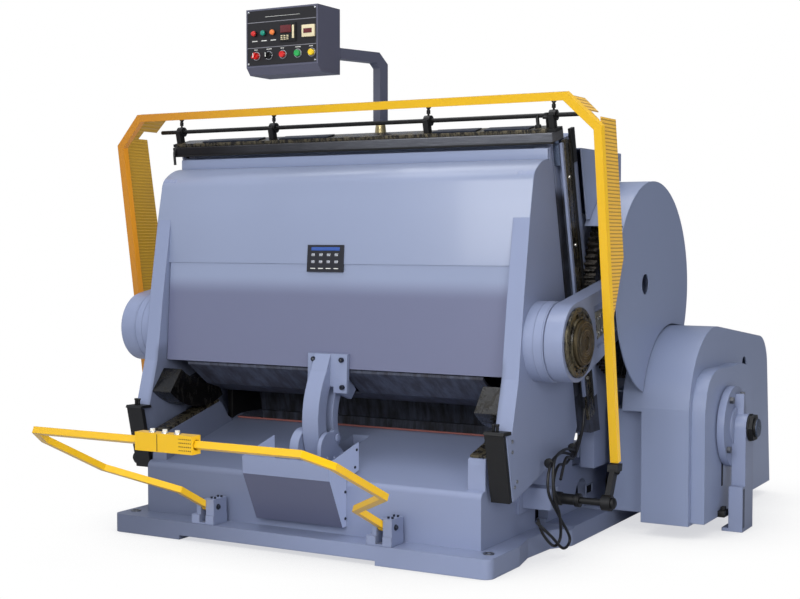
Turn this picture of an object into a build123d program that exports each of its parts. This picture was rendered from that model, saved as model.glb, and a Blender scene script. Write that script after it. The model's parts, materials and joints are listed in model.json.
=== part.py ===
from build123d import *
import math
import os

# Platen die-cutting and creasing press, millimetres, +Z up, +Y to the rear, +X to the operator's right.
# Everything is laid out from the front edge of the base (Y = 0) and the machine's mid plane (X = 0),
# then moved back by ORIGIN_Y, so that the origin is on the floor at the centre of the anchor holes.
ORIGIN_Y = 1000

# The bed, the rails and the connecting rods all share one tilt. A place in that tilted frame is
# (a, b) from the trunnion axis: a runs to the rear along the rails, b runs up along the bed face.
TILT = 14
TRUNNION = (460, 950)
PLATEN_FACE = 322
BED_FACE = 350
BED_BACK = 520
BED_TOP = 815
ROCKER_R = 388
RAIL_TOP = -390
RAIL_THICK = 12
BOTTOM_EDGE = -575

# Base casting
FLANGE_HALF = 994
FLANGE_DEPTH = 2000
FLANGE_THICK = 85
BASE_HALF = 890
BASE_FRONT = 130
BASIN_FRONT_Z = 322
BED_SEAT_Z = 489
REAR_TOP_Z = 300
CHEEK_HALF = 807
ANCHOR_X = 940
ANCHOR_Y = 900
ANCHOR_HOLE_R = 14

# Platen
WALL_IN = 925
WALL_OUT = 1005
BOSS_R = 175
BOSS_END = 1098
TRUNNION_PIN_R = 99.94
TRUNNION_PIN_END = 1220
COVER_HALF = 922
COVER_SHEET = 5
ARM_HALF = 43
ROLLER_AXIS = (309, 482)
ROLLER_R = 20
GUIDE_PIN_R = 12

# Connecting rods and crank
ROD_IN = 1100
ROD_OUT = 1185
ROD_HEAD_R = 170
ROD_TAIL_R = 95
RING_R = 150
RING_BORE_R = 100
CRANK_R = 150
CRANK_REACH = 866
CRANK_PIN_R = 55

# Gear train: module, teeth
CRANK_GEAR = (10, 86)
CRANK_PINION = (10, 15)
WHEEL_GEAR = (8, 57)
CLUTCH_PINION = (8, 18)
GEAR_IN = 1041
GEAR_OUT = 1095
MAIN_SHAFT_R = 60
COUNTER_SHAFT_R = 35
CLUTCH_SHAFT_R = 45
CLUTCH_AXIS = (1540, 489)
RUN = 0.05

# Covers
GEAR_COVER_R = 505
GEAR_COVER_OUT = 1230
SHEET = 6
DRIVE_IN = 1130
DRIVE_STEP = 1225
DRIVE_OUT = 1455
FLYWHEEL_R = 350
FLYWHEEL_IN = 1262
FLYWHEEL_OUT = 1400
MOTOR_AXIS = (2330, 330)
PULLEY_R = 85
SIDE_IN = 930
SIDE_OUT = 1000

# Guards and controls
GUARD_HALF = 1286
GUARD_TUBE = 36
GUARD_AXIS = (552, 256)
GUARD_SHAFT_R = 15
TRIP_TUBE = 28
TRIP_AXIS = (40, 165)
TRIP_PIN_R = 9
TRIP_BAR = (-864, 609)
SWITCH_X = (-108, 171)
ROD_AXIS = (574, 1932)
CLAMP_ROD_R = 10
CLAMP_X = (-1020, -455, 400, 1020)
POLE = (45, 748)
POLE_TUBE = 50
ARM_YAW = 18.6
BOX_X = (-412, -16)
BOX_Y = (288, 478)
BOX_Z = (2155, 2457)

SLOPE = math.radians(TILT)


def tilted(a, b):
    y = TRUNNION[0] + a * math.cos(SLOPE) - b * math.sin(SLOPE)
    z = TRUNNION[1] + a * math.sin(SLOPE) + b * math.cos(SLOPE)
    return (y, z)


CRANK_AXIS = tilted(CRANK_REACH, 0)
CRANK_PIN_AXIS = tilted(CRANK_REACH + CRANK_R, 0)


def pitch_r(gear):
    return gear[0] * gear[1] / 2


def third_corner(first, first_reach, second, second_reach):
    """The rear one of the two places at these distances from two axes."""
    dy = second[0] - first[0]
    dz = second[1] - first[1]
    span = math.hypot(dy, dz)
    along = (first_reach**2 - second_reach**2 + span**2) / (2 * span)
    aside = math.sqrt(first_reach**2 - along**2)
    y = first[0] + (dy * along - dz * aside) / span
    z = first[1] + (dz * along + dy * aside) / span
    return (y, z)


COUNTER_AXIS = third_corner(
    CRANK_AXIS,
    pitch_r(CRANK_GEAR) + pitch_r(CRANK_PINION),
    CLUTCH_AXIS,
    pitch_r(WHEEL_GEAR) + pitch_r(CLUTCH_PINION),
)


def slab(x, y, z):
    """A block between two values on each axis."""
    block = Box(x[1] - x[0], y[1] - y[0], z[1] - z[0], align=(Align.MIN, Align.MIN, Align.MIN))
    return Pos(x[0], y[0], z[0]) * block


def across(face, x0, x1):
    """A face drawn in (Y, Z), extruded along X."""
    return extrude(Plane.YZ.offset(x0) * face, x1 - x0, dir=(1, 0, 0))


def prism(points, x0, x1):
    return across(Polygon(*points, align=None), x0, x1)


def tilted_prism(points, x0, x1):
    return prism([tilted(a, b) for a, b in points], x0, x1)


def disc(axis, radius, x0, x1):
    return across(Pos(axis[0], axis[1]) * Circle(radius), x0, x1)


def upright(x, y, z0, z1, radius):
    return Pos(x, y, z0) * Cylinder(radius, z1 - z0, align=(Align.CENTER, Align.CENTER, Align.MIN))


def both_sides(shape):
    return [shape, mirror(shape, Plane.YZ)]


def square_tube(points, width, wall=4):
    """A square tube that follows straight runs with mitred corners."""
    path = Polyline(*points)
    start = Plane(origin=points[0], z_dir=path % 0, x_dir=(1, 0, 0))
    if abs((path % 0).X) > 0.9:
        start = Plane(origin=points[0], z_dir=path % 0, x_dir=(0, 1, 0))
    section = start * (Rectangle(width, width) - Rectangle(width - 2 * wall, width - 2 * wall))
    return sweep(section, path=path, transition=Transition.RIGHT)


def save(name, *shapes):
    solids = []
    for shape in shapes:
        solids.extend((Pos(0, -ORIGIN_Y, 0) * shape).solids())
    export_step(Compound(children=solids), f"parts/{name}.step")


# ---------------------------------------------------------------- base and bed


def base():
    side = [(FLANGE_HALF, 0), (FLANGE_HALF, 290), (961, 450), (974, 660), (1037, 770), (1037, FLANGE_DEPTH)]
    outline = side + [(-x, y) for x, y in reversed(side)]
    flange = extrude(Polygon(*outline, align=None), FLANGE_THICK)
    front_corners = flange.edges().filter_by(Axis.Z).sort_by(Axis.Y)[:2]
    flange = fillet(front_corners, 40)
    foot_gap = slab((-600, 450), (-10, 1600), (-1, 20))
    profile = [
        (BASE_FRONT, FLANGE_THICK),
        (BASE_FRONT, BASIN_FRONT_Z),
        (BASE_FRONT + (BED_SEAT_Z - BASIN_FRONT_Z) / math.tan(SLOPE), BED_SEAT_Z),
        (1125, BED_SEAT_Z),
        (1125, REAR_TOP_Z),
        (1950, REAR_TOP_Z),
        (1950, FLANGE_THICK),
    ]
    body = prism(profile, -BASE_HALF, BASE_HALF)
    nose = body.edges().filter_by(Axis.X).sort_by(Axis.Y)[:2].sort_by(Axis.Z)[-1:]
    body = fillet(nose, 28)
    cheek_profile = [
        (168, 300),
        (172, 440),
        tilted(-395, RAIL_TOP - RAIL_THICK),
        tilted(45, RAIL_TOP - RAIL_THICK),
        (640, 528),
        (668, 490),
        (712, 462),
        (760, 440),
    ]
    cheek = prism(cheek_profile, CHEEK_HALF, BASE_HALF)
    hollow = slab((-840, 840), (190, 1080), (-1, 285)) + slab((-840, 840), (1070, 1900), (-1, 262))
    trench = slab((-46.5, 46.5), (190, 640), (230, 520))
    pit = slab((-800, 800), (742, 965), (330, 520))
    arches = []
    for middle in (760, 1240, 1640):
        arch = Pos(0, middle, 150) * Rot(0, 90, 0) * Cylinder(75, 2400)
        arches.append(arch + slab((-1200, 1200), (middle - 75, middle + 75), (100, 150)))
    casting = flange + body + cheek + mirror(cheek, Plane.YZ) - hollow - foot_gap - trench - pit
    for arch in arches:
        casting = casting - arch
    for x in (-ANCHOR_X, ANCHOR_X):
        for y in (ORIGIN_Y - ANCHOR_Y, ORIGIN_Y + ANCHOR_Y):
            casting = casting - upright(x, y, -5, FLANGE_THICK + 300, ANCHOR_HOLE_R)
    return casting


def rail():
    low = RAIL_TOP - RAIL_THICK
    return tilted_prism([(-385, low), (-385, RAIL_TOP), (43, RAIL_TOP), (43, low)], 812, 886)


def bed():
    front = tilted_prism([(BED_FACE, -380), (BED_FACE, BED_TOP), (410, BED_TOP), (410, -380)], -1000, 1000)
    foot_front = (TRUNNION[0] + 405 * math.cos(SLOPE) + 139, BED_SEAT_Z)
    foot_back = (TRUNNION[0] + BED_BACK * math.cos(SLOPE) + 146, BED_SEAT_Z)
    main = prism([tilted(405, BED_TOP), tilted(BED_BACK, BED_TOP), foot_back, foot_front], -1035, 1035)
    casting = front + main
    pockets = []
    for i in range(5):
        x = -780 + i * 390
        for low, high in ((-460, -90), (-30, 340), (400, 740)):
            pocket = [(440, low), (440, high), (BED_BACK + 40, high), (BED_BACK + 40, low)]
            pockets.append(tilted_prism(pocket, x - 150, x + 150))
    for pocket in pockets:
        casting = casting - pocket
    return casting


def side_frame():
    plate = prism(
        [
            (1125, REAR_TOP_Z),
            (1125, BED_SEAT_Z - 4),
            tilted(BED_BACK + 6, -560),
            tilted(BED_BACK + 6, 470),
            (1380, 1420),
            (1560, 1150),
            (1860, 900),
            (1900, REAR_TOP_Z),
        ],
        SIDE_IN,
        SIDE_OUT,
    )
    plate = plate + slab((BASE_HALF - 60, SIDE_OUT), (1180, 1900), (REAR_TOP_Z, REAR_TOP_Z + 40))
    for axis, radius in ((CRANK_AXIS, 100), (COUNTER_AXIS, 65), (CLUTCH_AXIS, 75)):
        plate = plate - disc(axis, radius, SIDE_IN - 5, SIDE_OUT + 5)
    return plate


def bearings():
    made = []
    for axis, outer, shaft in (
        (CRANK_AXIS, 100, MAIN_SHAFT_R),
        (COUNTER_AXIS, 65, COUNTER_SHAFT_R),
        (CLUTCH_AXIS, 75, CLUTCH_SHAFT_R),
    ):
        ring = disc(axis, outer, SIDE_IN - 6, SIDE_OUT + 6) - disc(axis, shaft + RUN, 900, 1020)
        made.append(ring)
        if axis != CLUTCH_AXIS:
            made.append(mirror(ring, Plane.YZ))
    plug = mirror(disc(CLUTCH_AXIS, 75, SIDE_IN - 6, SIDE_OUT + 6), Plane.YZ)
    return made + [plug]


def top_clamp_rail():
    section = [(275, BED_TOP), (275, BED_TOP + 43), (400, BED_TOP + 43), (400, BED_TOP)]
    bar = tilted_prism(section, -1035, 1035)
    return fillet(bar.edges().filter_by(Axis.X).sort_by(Axis.Y)[:2], 5)


def clamp_bracket(x):
    ridge = BED_TOP + 43
    foot = tilted_prism([(296, ridge), (296, ridge + 14), (372, ridge + 14), (372, ridge)], x - 26, x + 26)
    post = tilted_prism([(312, ridge), (312, ridge + 76), (346, ridge + 76), (346, ridge)], x - 13, x + 13)
    eye = disc(ROD_AXIS, 24, x - 16, x + 16)
    bore = disc(ROD_AXIS, CLAMP_ROD_R, x - 40, x + 40)
    screw_hole = upright(x, ROD_AXIS[0], ROD_AXIS[1], ROD_AXIS[1] + 40, 5 + RUN)
    return foot + post + eye - bore - screw_hole


def wing_screw(x):
    """A thumb screw with two raised wings, standing on top of the clamp rod."""
    base_z = ROD_AXIS[1] + CLAMP_ROD_R + 1
    stem = upright(x, ROD_AXIS[0], base_z, base_z + 42, 5)
    hub = upright(x, ROD_AXIS[0], base_z + 20, base_z + 36, 9)
    wing = Pos(x, ROD_AXIS[0], base_z + 40) * Rot(0, 35, 0) * Pos(0, 0, 8) * Box(5, 14, 34)
    other = Pos(x, ROD_AXIS[0], base_z + 40) * Rot(0, -35, 0) * Pos(0, 0, 8) * Box(5, 14, 34)
    return stem + hub + wing + other


def chase():
    outer = [(BED_FACE - 22, -335), (BED_FACE - 22, 745), (BED_FACE, 745), (BED_FACE, -335)]
    inner = [(BED_FACE - 30, -290), (BED_FACE - 30, 700), (BED_FACE + 5, 700), (BED_FACE + 5, -290)]
    return tilted_prism(outer, -800, 800) - tilted_prism(inner, -755, 755)


def die_board():
    return tilted_prism(
        [(BED_FACE - 18, -286), (BED_FACE - 18, 696), (BED_FACE, 696), (BED_FACE, -286)], -751, 751
    )


# ---------------------------------------------------------------- platen


def platen_wall():
    foot = [(300, 1130), (252, 800), (186, 576), (134, 575), (200, 290)]
    back = [
        tilted(PLATEN_FACE - 60, BOTTOM_EDGE),
        tilted(PLATEN_FACE, BOTTOM_EDGE + 60),
        tilted(PLATEN_FACE, 795),
    ]
    edge = Polyline((364, 1500), *foot, *back, (568, 1790), (568, 1738), (552, 1738))
    wall = across(make_face([edge, *cover_edge(-2)[:2]]), WALL_IN, WALL_OUT)
    wall = wall + disc(TRUNNION, BOSS_R, WALL_OUT, BOSS_END)
    return wall


def trunnion_pin():
    pin = disc(TRUNNION, TRUNNION_PIN_R, BOSS_END, TRUNNION_PIN_END)
    return chamfer(pin.edges().filter_by(GeomType.CIRCLE).sort_by(Axis.X)[-1:], 5)


def platen_plate():
    outline = [(200, -380), (200, 690), (300, 738), (300, 790), (310, 790), (310, -380)]
    plate = tilted_prism(outline, -WALL_IN, WALL_IN)
    for i in range(5):
        x = -720 + i * 360
        rib_edge = [(120, -250), (60, 0), (110, 480), (185, 660), (201, 660), (201, -370)]
        rib = tilted_prism(rib_edge, x - 15, x + 15)
        plate = plate + rib
    apron_top = [(330, 796), (480, 690), (620, 640), tilted(201, -300)]
    apron_edge = apron_top + [tilted(201, -360), (640, 628), (480, 676), (330, 782)]
    apron = prism(apron_edge, -800, 800) - slab((-50, 90), (300, 520), (500, 900))
    return plate + apron


def cutting_plate():
    return tilted_prism([(310, -345), (310, 755), (PLATEN_FACE, 755), (PLATEN_FACE, -345)], -790, 790)


def cover_edge(inset):
    """Side view of the cover sheet: rounded shoulder, then a long slightly raked front."""
    shoulder = Spline(
        (552, 1736 - inset),
        (498, 1729 - inset),
        (430 + inset * 0.7, 1694 - inset * 0.7),
        (394 + inset, 1630),
        tangents=[(-1, 0), (-0.12, -1)],
    )
    chest = Line((394 + inset, 1630), (366 + inset, 1500))
    front = Line((366 + inset, 1500), (316 + inset, 800))
    return [shoulder, chest, front]


def platen_cover():
    outside = cover_edge(0)
    inside = cover_edge(COVER_SHEET)
    top = Line((552, 1736), (552, 1736 - COVER_SHEET))
    low = Line((316, 800), (316 + COVER_SHEET, 800))
    sheet = across(make_face(outside + inside + [top, low]), -COVER_HALF, COVER_HALF)
    side_back = Polyline(
        (552, 1736), (474, 1700), (480, 1600), (440, 1300), (372, 900), (340, 800), (316, 800)
    )
    side_face = make_face(outside + [side_back])
    side = across(side_face, COVER_HALF - COVER_SHEET, COVER_HALF)
    strip = slab((-COVER_HALF, COVER_HALF), (550, 556), (1728, 1788))
    strip = strip + slab((-1003, 1003), (550, 556), (1740, 1788))
    return sheet + side + mirror(side, Plane.YZ) + strip


def rocker():
    """Greasy curved shoe, a sector of a ring about the trunnion, bolted inside the platen wall."""
    band = disc(TRUNNION, ROCKER_R, 815, WALL_IN) - disc(TRUNNION, 250, 800, 940)
    reach = 900
    corners = [(0, 0)]
    for angle in (-12, 20, 54):
        bearing = math.radians(angle)
        corners.append((-reach * math.sin(bearing), -reach * math.cos(bearing)))
    return band & tilted_prism(corners, 800, 940)


def leg_pad():
    outline = [(110, 578), (134, 575), (200, 290), (178, 286)]
    pad = prism(outline, 912, 1000)
    return pad


def leg_cap():
    return prism([(104, 579), (110, 592), (181, 590), (186, 577)], 910, 1003)


def guide_arm():
    """Crescent arm under the cover: a curved bar with a through slot, a bolting flange and a gusset."""
    spine = ThreePointArc((345, 760), (275, 590), (302, 432))
    band = trace(spine, 168)
    slot_line = ThreePointArc((332, 728), (287, 590), (322, 436))
    slot = trace(slot_line, 58)
    web = across(band - slot, -ARM_HALF, ARM_HALF)
    neck_edge = [(298, 866), (262, 790), (280, 700), (400, 690), (400, 790), (315, 797), (320, 866)]
    neck = prism(neck_edge, -ARM_HALF, ARM_HALF)
    flange = prism([(298, 868), (292, 740), (315, 740), (315, 797), (320, 868)], -80, 132)
    gusset = prism([(310, 790), (306, 690), (420, 650), (462, 690), (400, 780), (316, 790)], 60, 78)
    foot = prism([(292, 752), (292, 690), (312, 690), (312, 752)], 24, 132)
    above = prism([(200, 1000), (200, 868), (321, 868), (321, 1000)], -200, 200)
    behind = prism([(320, 869), (315, 797), (600, 797), (600, 869)], -200, 200)
    arm = web + neck + flange + gusset + foot
    return arm - above - behind - across(slot, -60, 60)


def guide_bracket():
    made = None
    for x0, x1, reach in ((-94, -47, 88), (47, 68, 76)):
        lug = disc((250, 440), reach, x0, x1) + disc((300, 480), 40, x0, x1)
        foot = [(250 - reach, 352), (250 - reach, 440), (338, 440), (372, 404), (372, 385)]
        lug = lug + prism(foot, x0, x1)
        made = lug if made is None else made + lug
    made = made - disc(ROLLER_AXIS, GUIDE_PIN_R, -100, 100)
    seat = BASIN_FRONT_Z - BASE_FRONT * math.tan(SLOPE)
    under = prism([(0, 0), (0, seat), (1000, seat + 1000 * math.tan(SLOPE)), (1000, 0)], -200, 200)
    return made - under


def guide_pin():
    return disc(ROLLER_AXIS, GUIDE_PIN_R, -98, 74)


def guide_roller():
    return disc(ROLLER_AXIS, ROLLER_R, -40, 40) - disc(ROLLER_AXIS, GUIDE_PIN_R + RUN, -40, 40)


def chute_cover():
    """Folded sheet hood in front of the guide arm, open at the top and at the back."""
    outer_edge = [(-15, 422), (-10, 343), (95, 123), (129, 123), (129, 332), (235, 358), (235, 484)]
    inner_edge = [(-10, 500), (-5, 344), (98, 129), (140, 129), (140, 320), (260, 340), (260, 520)]
    outer = prism(outer_edge, -230, 230)
    inner = prism(inner_edge, -225, 225)
    return outer - inner


# ---------------------------------------------------------------- rods, shafts and gears


def connecting_rod():
    body = make_hull(
        (Pos(*TRUNNION) * Circle(ROD_HEAD_R)).edges() + (Pos(*CRANK_PIN_AXIS) * Circle(ROD_TAIL_R)).edges()
    )
    rod = across(body, ROD_IN, ROD_OUT)
    recess = tilted_prism([(215, -96), (215, 96), (900, 62), (900, -62)], ROD_OUT - 14, ROD_OUT + 5)
    rod = rod - recess
    rod = rod - disc(TRUNNION, RING_R, ROD_IN - 5, ROD_OUT + 5)
    return rod - disc(CRANK_PIN_AXIS, CRANK_PIN_R, ROD_IN - 5, ROD_OUT + 5)


def trunnion_ring():
    return disc(TRUNNION, RING_R, ROD_IN, ROD_OUT + 7) - disc(TRUNNION, RING_BORE_R, ROD_IN - 5, ROD_OUT + 20)


def crank_pin():
    return disc(CRANK_PIN_AXIS, CRANK_PIN_R, GEAR_OUT + 3, ROD_OUT + 20)


def gear_blank(axis, gear, toward, tooth_on_line, x0, x1):
    """Straight-flanked spur gear. Its first tooth, or first gap, points at the place given."""
    module, teeth = gear
    pitch = pitch_r(gear)
    tip = pitch + 0.8 * module
    root = pitch - 1.2 * module
    step = 2 * math.pi / teeth
    start = math.atan2(toward[1] - axis[1], toward[0] - axis[0])
    if not tooth_on_line:
        start = start + step / 2
    corners = []
    for i in range(teeth):
        middle = start + i * step
        for radius, offset in ((root, -0.33), (tip, -0.12), (tip, 0.12), (root, 0.33)):
            angle = middle + offset * step
            corners.append((axis[0] + radius * math.cos(angle), axis[1] + radius * math.sin(angle)))
    return prism(corners, x0, x1)


def crank_gear():
    gear = gear_blank(CRANK_AXIS, CRANK_GEAR, COUNTER_AXIS, True, GEAR_IN, GEAR_OUT)
    for i in range(6):
        angle = math.radians(TILT + 30 + i * 60)
        hole = (CRANK_AXIS[0] + 245 * math.cos(angle), CRANK_AXIS[1] + 245 * math.sin(angle))
        gear = gear - disc(hole, 80, GEAR_IN - 5, GEAR_OUT + 5)
    return gear - disc(CRANK_AXIS, MAIN_SHAFT_R, GEAR_IN - 5, GEAR_OUT + 5)


def crank_pinion():
    gear = gear_blank(COUNTER_AXIS, CRANK_PINION, CRANK_AXIS, False, GEAR_IN, GEAR_OUT)
    return gear - disc(COUNTER_AXIS, COUNTER_SHAFT_R, GEAR_IN - 5, GEAR_OUT + 5)


def counter_shaft():
    return disc(COUNTER_AXIS, COUNTER_SHAFT_R, -GEAR_OUT, GEAR_OUT)


def counter_gear():
    gear = gear_blank(COUNTER_AXIS, WHEEL_GEAR, CLUTCH_AXIS, True, 850, 900)
    return gear - disc(COUNTER_AXIS, COUNTER_SHAFT_R, 840, 910)


def clutch_shaft():
    shaft = disc(CLUTCH_AXIS, CLUTCH_SHAFT_R, 846, 1672)
    shaft = chamfer(shaft.edges().filter_by(GeomType.CIRCLE).sort_by(Axis.X)[-1:], 4)
    pinion = gear_blank(CLUTCH_AXIS, CLUTCH_PINION, COUNTER_AXIS, False, 848, 902)
    return shaft + pinion


def shaft_nut():
    nut = across(Pos(*CLUTCH_AXIS) * RegularPolygon(68, 6), 1640, 1658)
    washer = disc(CLUTCH_AXIS, 66, 1634, 1640)
    return nut + washer - disc(CLUTCH_AXIS, CLUTCH_SHAFT_R, 1600, 1700)


def flywheel():
    wheel = disc(CLUTCH_AXIS, FLYWHEEL_R, FLYWHEEL_IN, FLYWHEEL_OUT)
    for x0, x1 in ((FLYWHEEL_IN - 5, FLYWHEEL_IN + 50), (FLYWHEEL_OUT - 50, FLYWHEEL_OUT + 5)):
        recess = disc(CLUTCH_AXIS, 285, x0, x1) - disc(CLUTCH_AXIS, 95, x0 - 5, x1 + 5)
        wheel = wheel - recess
    for i in range(4):
        x = FLYWHEEL_IN + 27 + i * 28
        groove = disc(CLUTCH_AXIS, FLYWHEEL_R + 5, x - 7, x + 7)
        groove = groove - disc(CLUTCH_AXIS, FLYWHEEL_R - 12, x - 9, x + 9)
        wheel = wheel - groove
    return wheel - disc(CLUTCH_AXIS, CLUTCH_SHAFT_R + RUN, 1200, 1500)


def motor_pulley():
    pulley = disc(MOTOR_AXIS, PULLEY_R, FLYWHEEL_IN, FLYWHEEL_OUT)
    for i in range(4):
        x = FLYWHEEL_IN + 27 + i * 28
        groove = disc(MOTOR_AXIS, PULLEY_R + 5, x - 7, x + 7) - disc(MOTOR_AXIS, PULLEY_R - 12, x - 9, x + 9)
        pulley = pulley - groove
    return pulley + disc(MOTOR_AXIS, 19, 1211, FLYWHEEL_IN)


def v_belt(x):
    def loop(gap):
        big = Pos(*CLUTCH_AXIS) * Circle(FLYWHEEL_R + gap)
        small = Pos(*MOTOR_AXIS) * Circle(PULLEY_R + gap)
        return make_hull(big.edges() + small.edges())

    return across(loop(3), x - 6, x + 6) - across(loop(-10), x - 8, x + 8)


def motor():
    body = disc(MOTOR_AXIS, 135, 900, 1210)
    for i in range(16):
        angle = i * math.pi / 8
        fin = Pos(0, *MOTOR_AXIS) * Rot(math.degrees(angle), 0, 0) * Pos(1050, 138, 0) * Box(250, 24, 7)
        body = body + fin
    feet = slab((930, 1180), (2190, 2470), (40, 62))
    legs = slab((940, 1170), (2240, 2262), (60, 260)) + slab((940, 1170), (2398, 2420), (60, 260))
    nose = disc(MOTOR_AXIS, 60, 1205, 1224) - disc(MOTOR_AXIS, 20, 1200, 1240)
    return body + feet + legs + nose


def motor_base():
    bed_plate = slab((905, 1205), (2004, 2510), (18, 40))
    skids = slab((905, 965), (2004, 2510), (0, 18)) + slab((1145, 1205), (2004, 2510), (0, 18))
    return bed_plate + skids


# ---------------------------------------------------------------- covers


def drive_outline(grow):
    """Side view of the belt cover: upright front, round shoulder, sloping top and raked back."""
    front = Line((1150 - grow, 60 - grow), (1150 - grow, 600))
    shoulder = ThreePointArc((1150 - grow, 600), (1272 - grow * 0.7, 848 + grow * 0.7), (1585, 966 + grow))
    top = Line((1585, 966 + grow), (2360 + grow * 0.2, 873 + grow))
    corner = ThreePointArc(
        (2360 + grow * 0.2, 873 + grow), (2462 + grow * 0.7, 822 + grow * 0.7), (2512 + grow, 720)
    )
    back = Line((2512 + grow, 720), (2590 + grow, 60 - grow))
    bottom = Line((2590 + grow, 60 - grow), (1150 - grow, 60 - grow))
    return make_face([front, shoulder, top, corner, back, bottom])


def flywheel_cover():
    step = slab((DRIVE_IN - 5, DRIVE_STEP), (1100, 2700), (0, 582))
    outer = across(drive_outline(0), DRIVE_IN, DRIVE_OUT) - step
    inner = across(drive_outline(-SHEET), DRIVE_IN + SHEET, DRIVE_OUT - SHEET)
    inner = inner - slab((DRIVE_IN, DRIVE_STEP + SHEET), (1100, 2700), (0, 588))
    cover = outer - inner
    arch_edge = [
        Line((1186, 70), (1186, 520)),
        Spline((1186, 520), (1590, 772), (1990, 520), tangents=[(0, 1), (0, -1)]),
        Line((1990, 520), (1990, 70)),
        Line((1990, 70), (1186, 70)),
    ]
    arch = across(make_face(arch_edge), DRIVE_OUT, 1520)
    cover = cover + arch - disc(CLUTCH_AXIS, 60, DRIVE_STEP - 5, 1600)
    cover = cover - disc(MOTOR_AXIS, 62, DRIVE_STEP - 5, DRIVE_STEP + 20)
    slot = Pos(1450, 2060, 745) * Rot(0, 90, 0) * Cylinder(40, 60)
    return cover - slot


def drive_housing():
    """Sheet box between the base and the belt cover, under the gear cover."""
    outer = slab((1040, DRIVE_STEP - 1), (1230, 1900), (90, 581))
    inner = slab((1046, DRIVE_STEP - 7), (1236, 1894), (80, 575))
    box = outer - inner
    box = box - disc(CLUTCH_AXIS, 60, 1030, 1300)
    return box - slab((1030, 1128), (1400, 1890), (560, 600))


def gear_cover():
    ring = disc(CRANK_AXIS, GEAR_COVER_R, 1040, GEAR_COVER_OUT)
    ring = ring - disc(CRANK_AXIS, GEAR_COVER_R - SHEET, 1030, GEAR_COVER_OUT - SHEET)
    window = slab((1030, GEAR_COVER_OUT - SHEET), (700, CRANK_AXIS[0]), (600, 1450))
    eye = disc((CRANK_AXIS[0] - 120, CRANK_AXIS[1] + 20), 48, GEAR_COVER_OUT - 20, GEAR_COVER_OUT + 5)
    pinion_room = disc(COUNTER_AXIS, 92, 1030, GEAR_OUT + 12)
    return ring - window - eye - pinion_room


def gear_cover_right():
    return gear_cover() - across(drive_outline(8), DRIVE_IN - 8, 1500)


def rear_housing():
    """Sheet cover behind the bed, with two wide shoulders over the gear covers."""
    half = SIDE_IN - 12
    top_front = tilted(BED_BACK + 8, 740)
    low_front = tilted(BED_BACK + 8, BOTTOM_EDGE)
    roof_edge = [top_front, (top_front[0], 1800), (1480, 1800), (1905, 1330)]
    side_edge = roof_edge + [(1915, 345), (1130, 345), (1130, 480), low_front]
    main = prism(side_edge, -half, half)
    shoulder_foot = tilted(BED_BACK + 8, 415)
    shoulder_edge = [shoulder_foot, (top_front[0], 1800), (1300, 1800), (1300, shoulder_foot[1])]
    outer = main + prism(shoulder_edge, -1060, 1060)
    inside = prism(
        [(500, 300), (500, 1800 - SHEET), (1477, 1800 - SHEET), (1899, 1327), (1909, 300)],
        -half + SHEET,
        half - SHEET,
    )
    shoulder_inside = slab((-1060 + SHEET, 1060 - SHEET), (500, 1300 - SHEET), (1400, 1800 - SHEET))
    shell = outer - inside - shoulder_inside
    keep_out = disc(CRANK_AXIS, GEAR_COVER_R + 3, 1000, 1240)
    shell = shell - keep_out - mirror(keep_out, Plane.YZ)
    for axis, radius in ((CRANK_AXIS, 75), (COUNTER_AXIS, 50), (CLUTCH_AXIS, 60)):
        shell = shell - disc(axis, radius, -940, 940)
    return shell


def bearing_pedestal():
    post = slab((1562, 1630), (1474, 1606), (16, CLUTCH_AXIS[1]))
    head = disc(CLUTCH_AXIS, 66, 1562, 1630)
    flange = disc(CLUTCH_AXIS, 194, 1526, 1562)
    foot = slab((1530, 1630), (1430, 1606), (0, 16)) + slab((1562, 1630), (1430, 1474), (0, 215))
    rib_up = prism([(1520, 540), (1560, 540), (1548, 648), (1532, 648)], 1562, 1605)
    body = post + head + flange + foot + rib_up
    return body - disc(CLUTCH_AXIS, CLUTCH_SHAFT_R + RUN, 1500, 1700)


def pedestal_bolts():
    made = []
    for degrees in (60, 125, 215, 325):
        angle = math.radians(degrees)
        place = (CLUTCH_AXIS[0] + 166 * math.cos(angle), CLUTCH_AXIS[1] + 166 * math.sin(angle))
        made.append(across(Pos(*place) * RegularPolygon(17, 6), 1562, 1580))
    return made


# ---------------------------------------------------------------- guards


def guard_frame():
    post_foot = (GUARD_HALF, 652, 420)
    shoulder = (GUARD_HALF, 431, 1858)
    chamfer_top = (1146, 408, 1995)
    right = [post_foot, shoulder, chamfer_top]
    left = [(-x, y, z) for x, y, z in reversed(right)]
    return square_tube(right + left, GUARD_TUBE)


def guard_lever():
    arm = prism([(530, 250), (618, 400), (660, 400), (580, 250)], 1274, 1298)
    arm = arm + prism([(612, 380), (622, 440), (682, 440), (668, 380)], 1262, 1310)
    arm = arm + disc(GUARD_AXIS, 34, 1266, 1308)
    pocket = slab((1262, 1310), (600, 700), (412, 460))
    return arm - pocket - disc(GUARD_AXIS, GUARD_SHAFT_R, 1200, 1400)


def guard_shaft():
    return disc(GUARD_AXIS, GUARD_SHAFT_R, 900, 1318)


def guard_bearing():
    block = slab((BASE_HALF, 1042), (512, 592), (205, 300))
    block = block + slab((BASE_HALF, BASE_HALF + 16), (480, 624), (180, 320))
    return block - disc(GUARD_AXIS, GUARD_SHAFT_R + RUN, BASE_HALF - 5, 1100)


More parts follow.
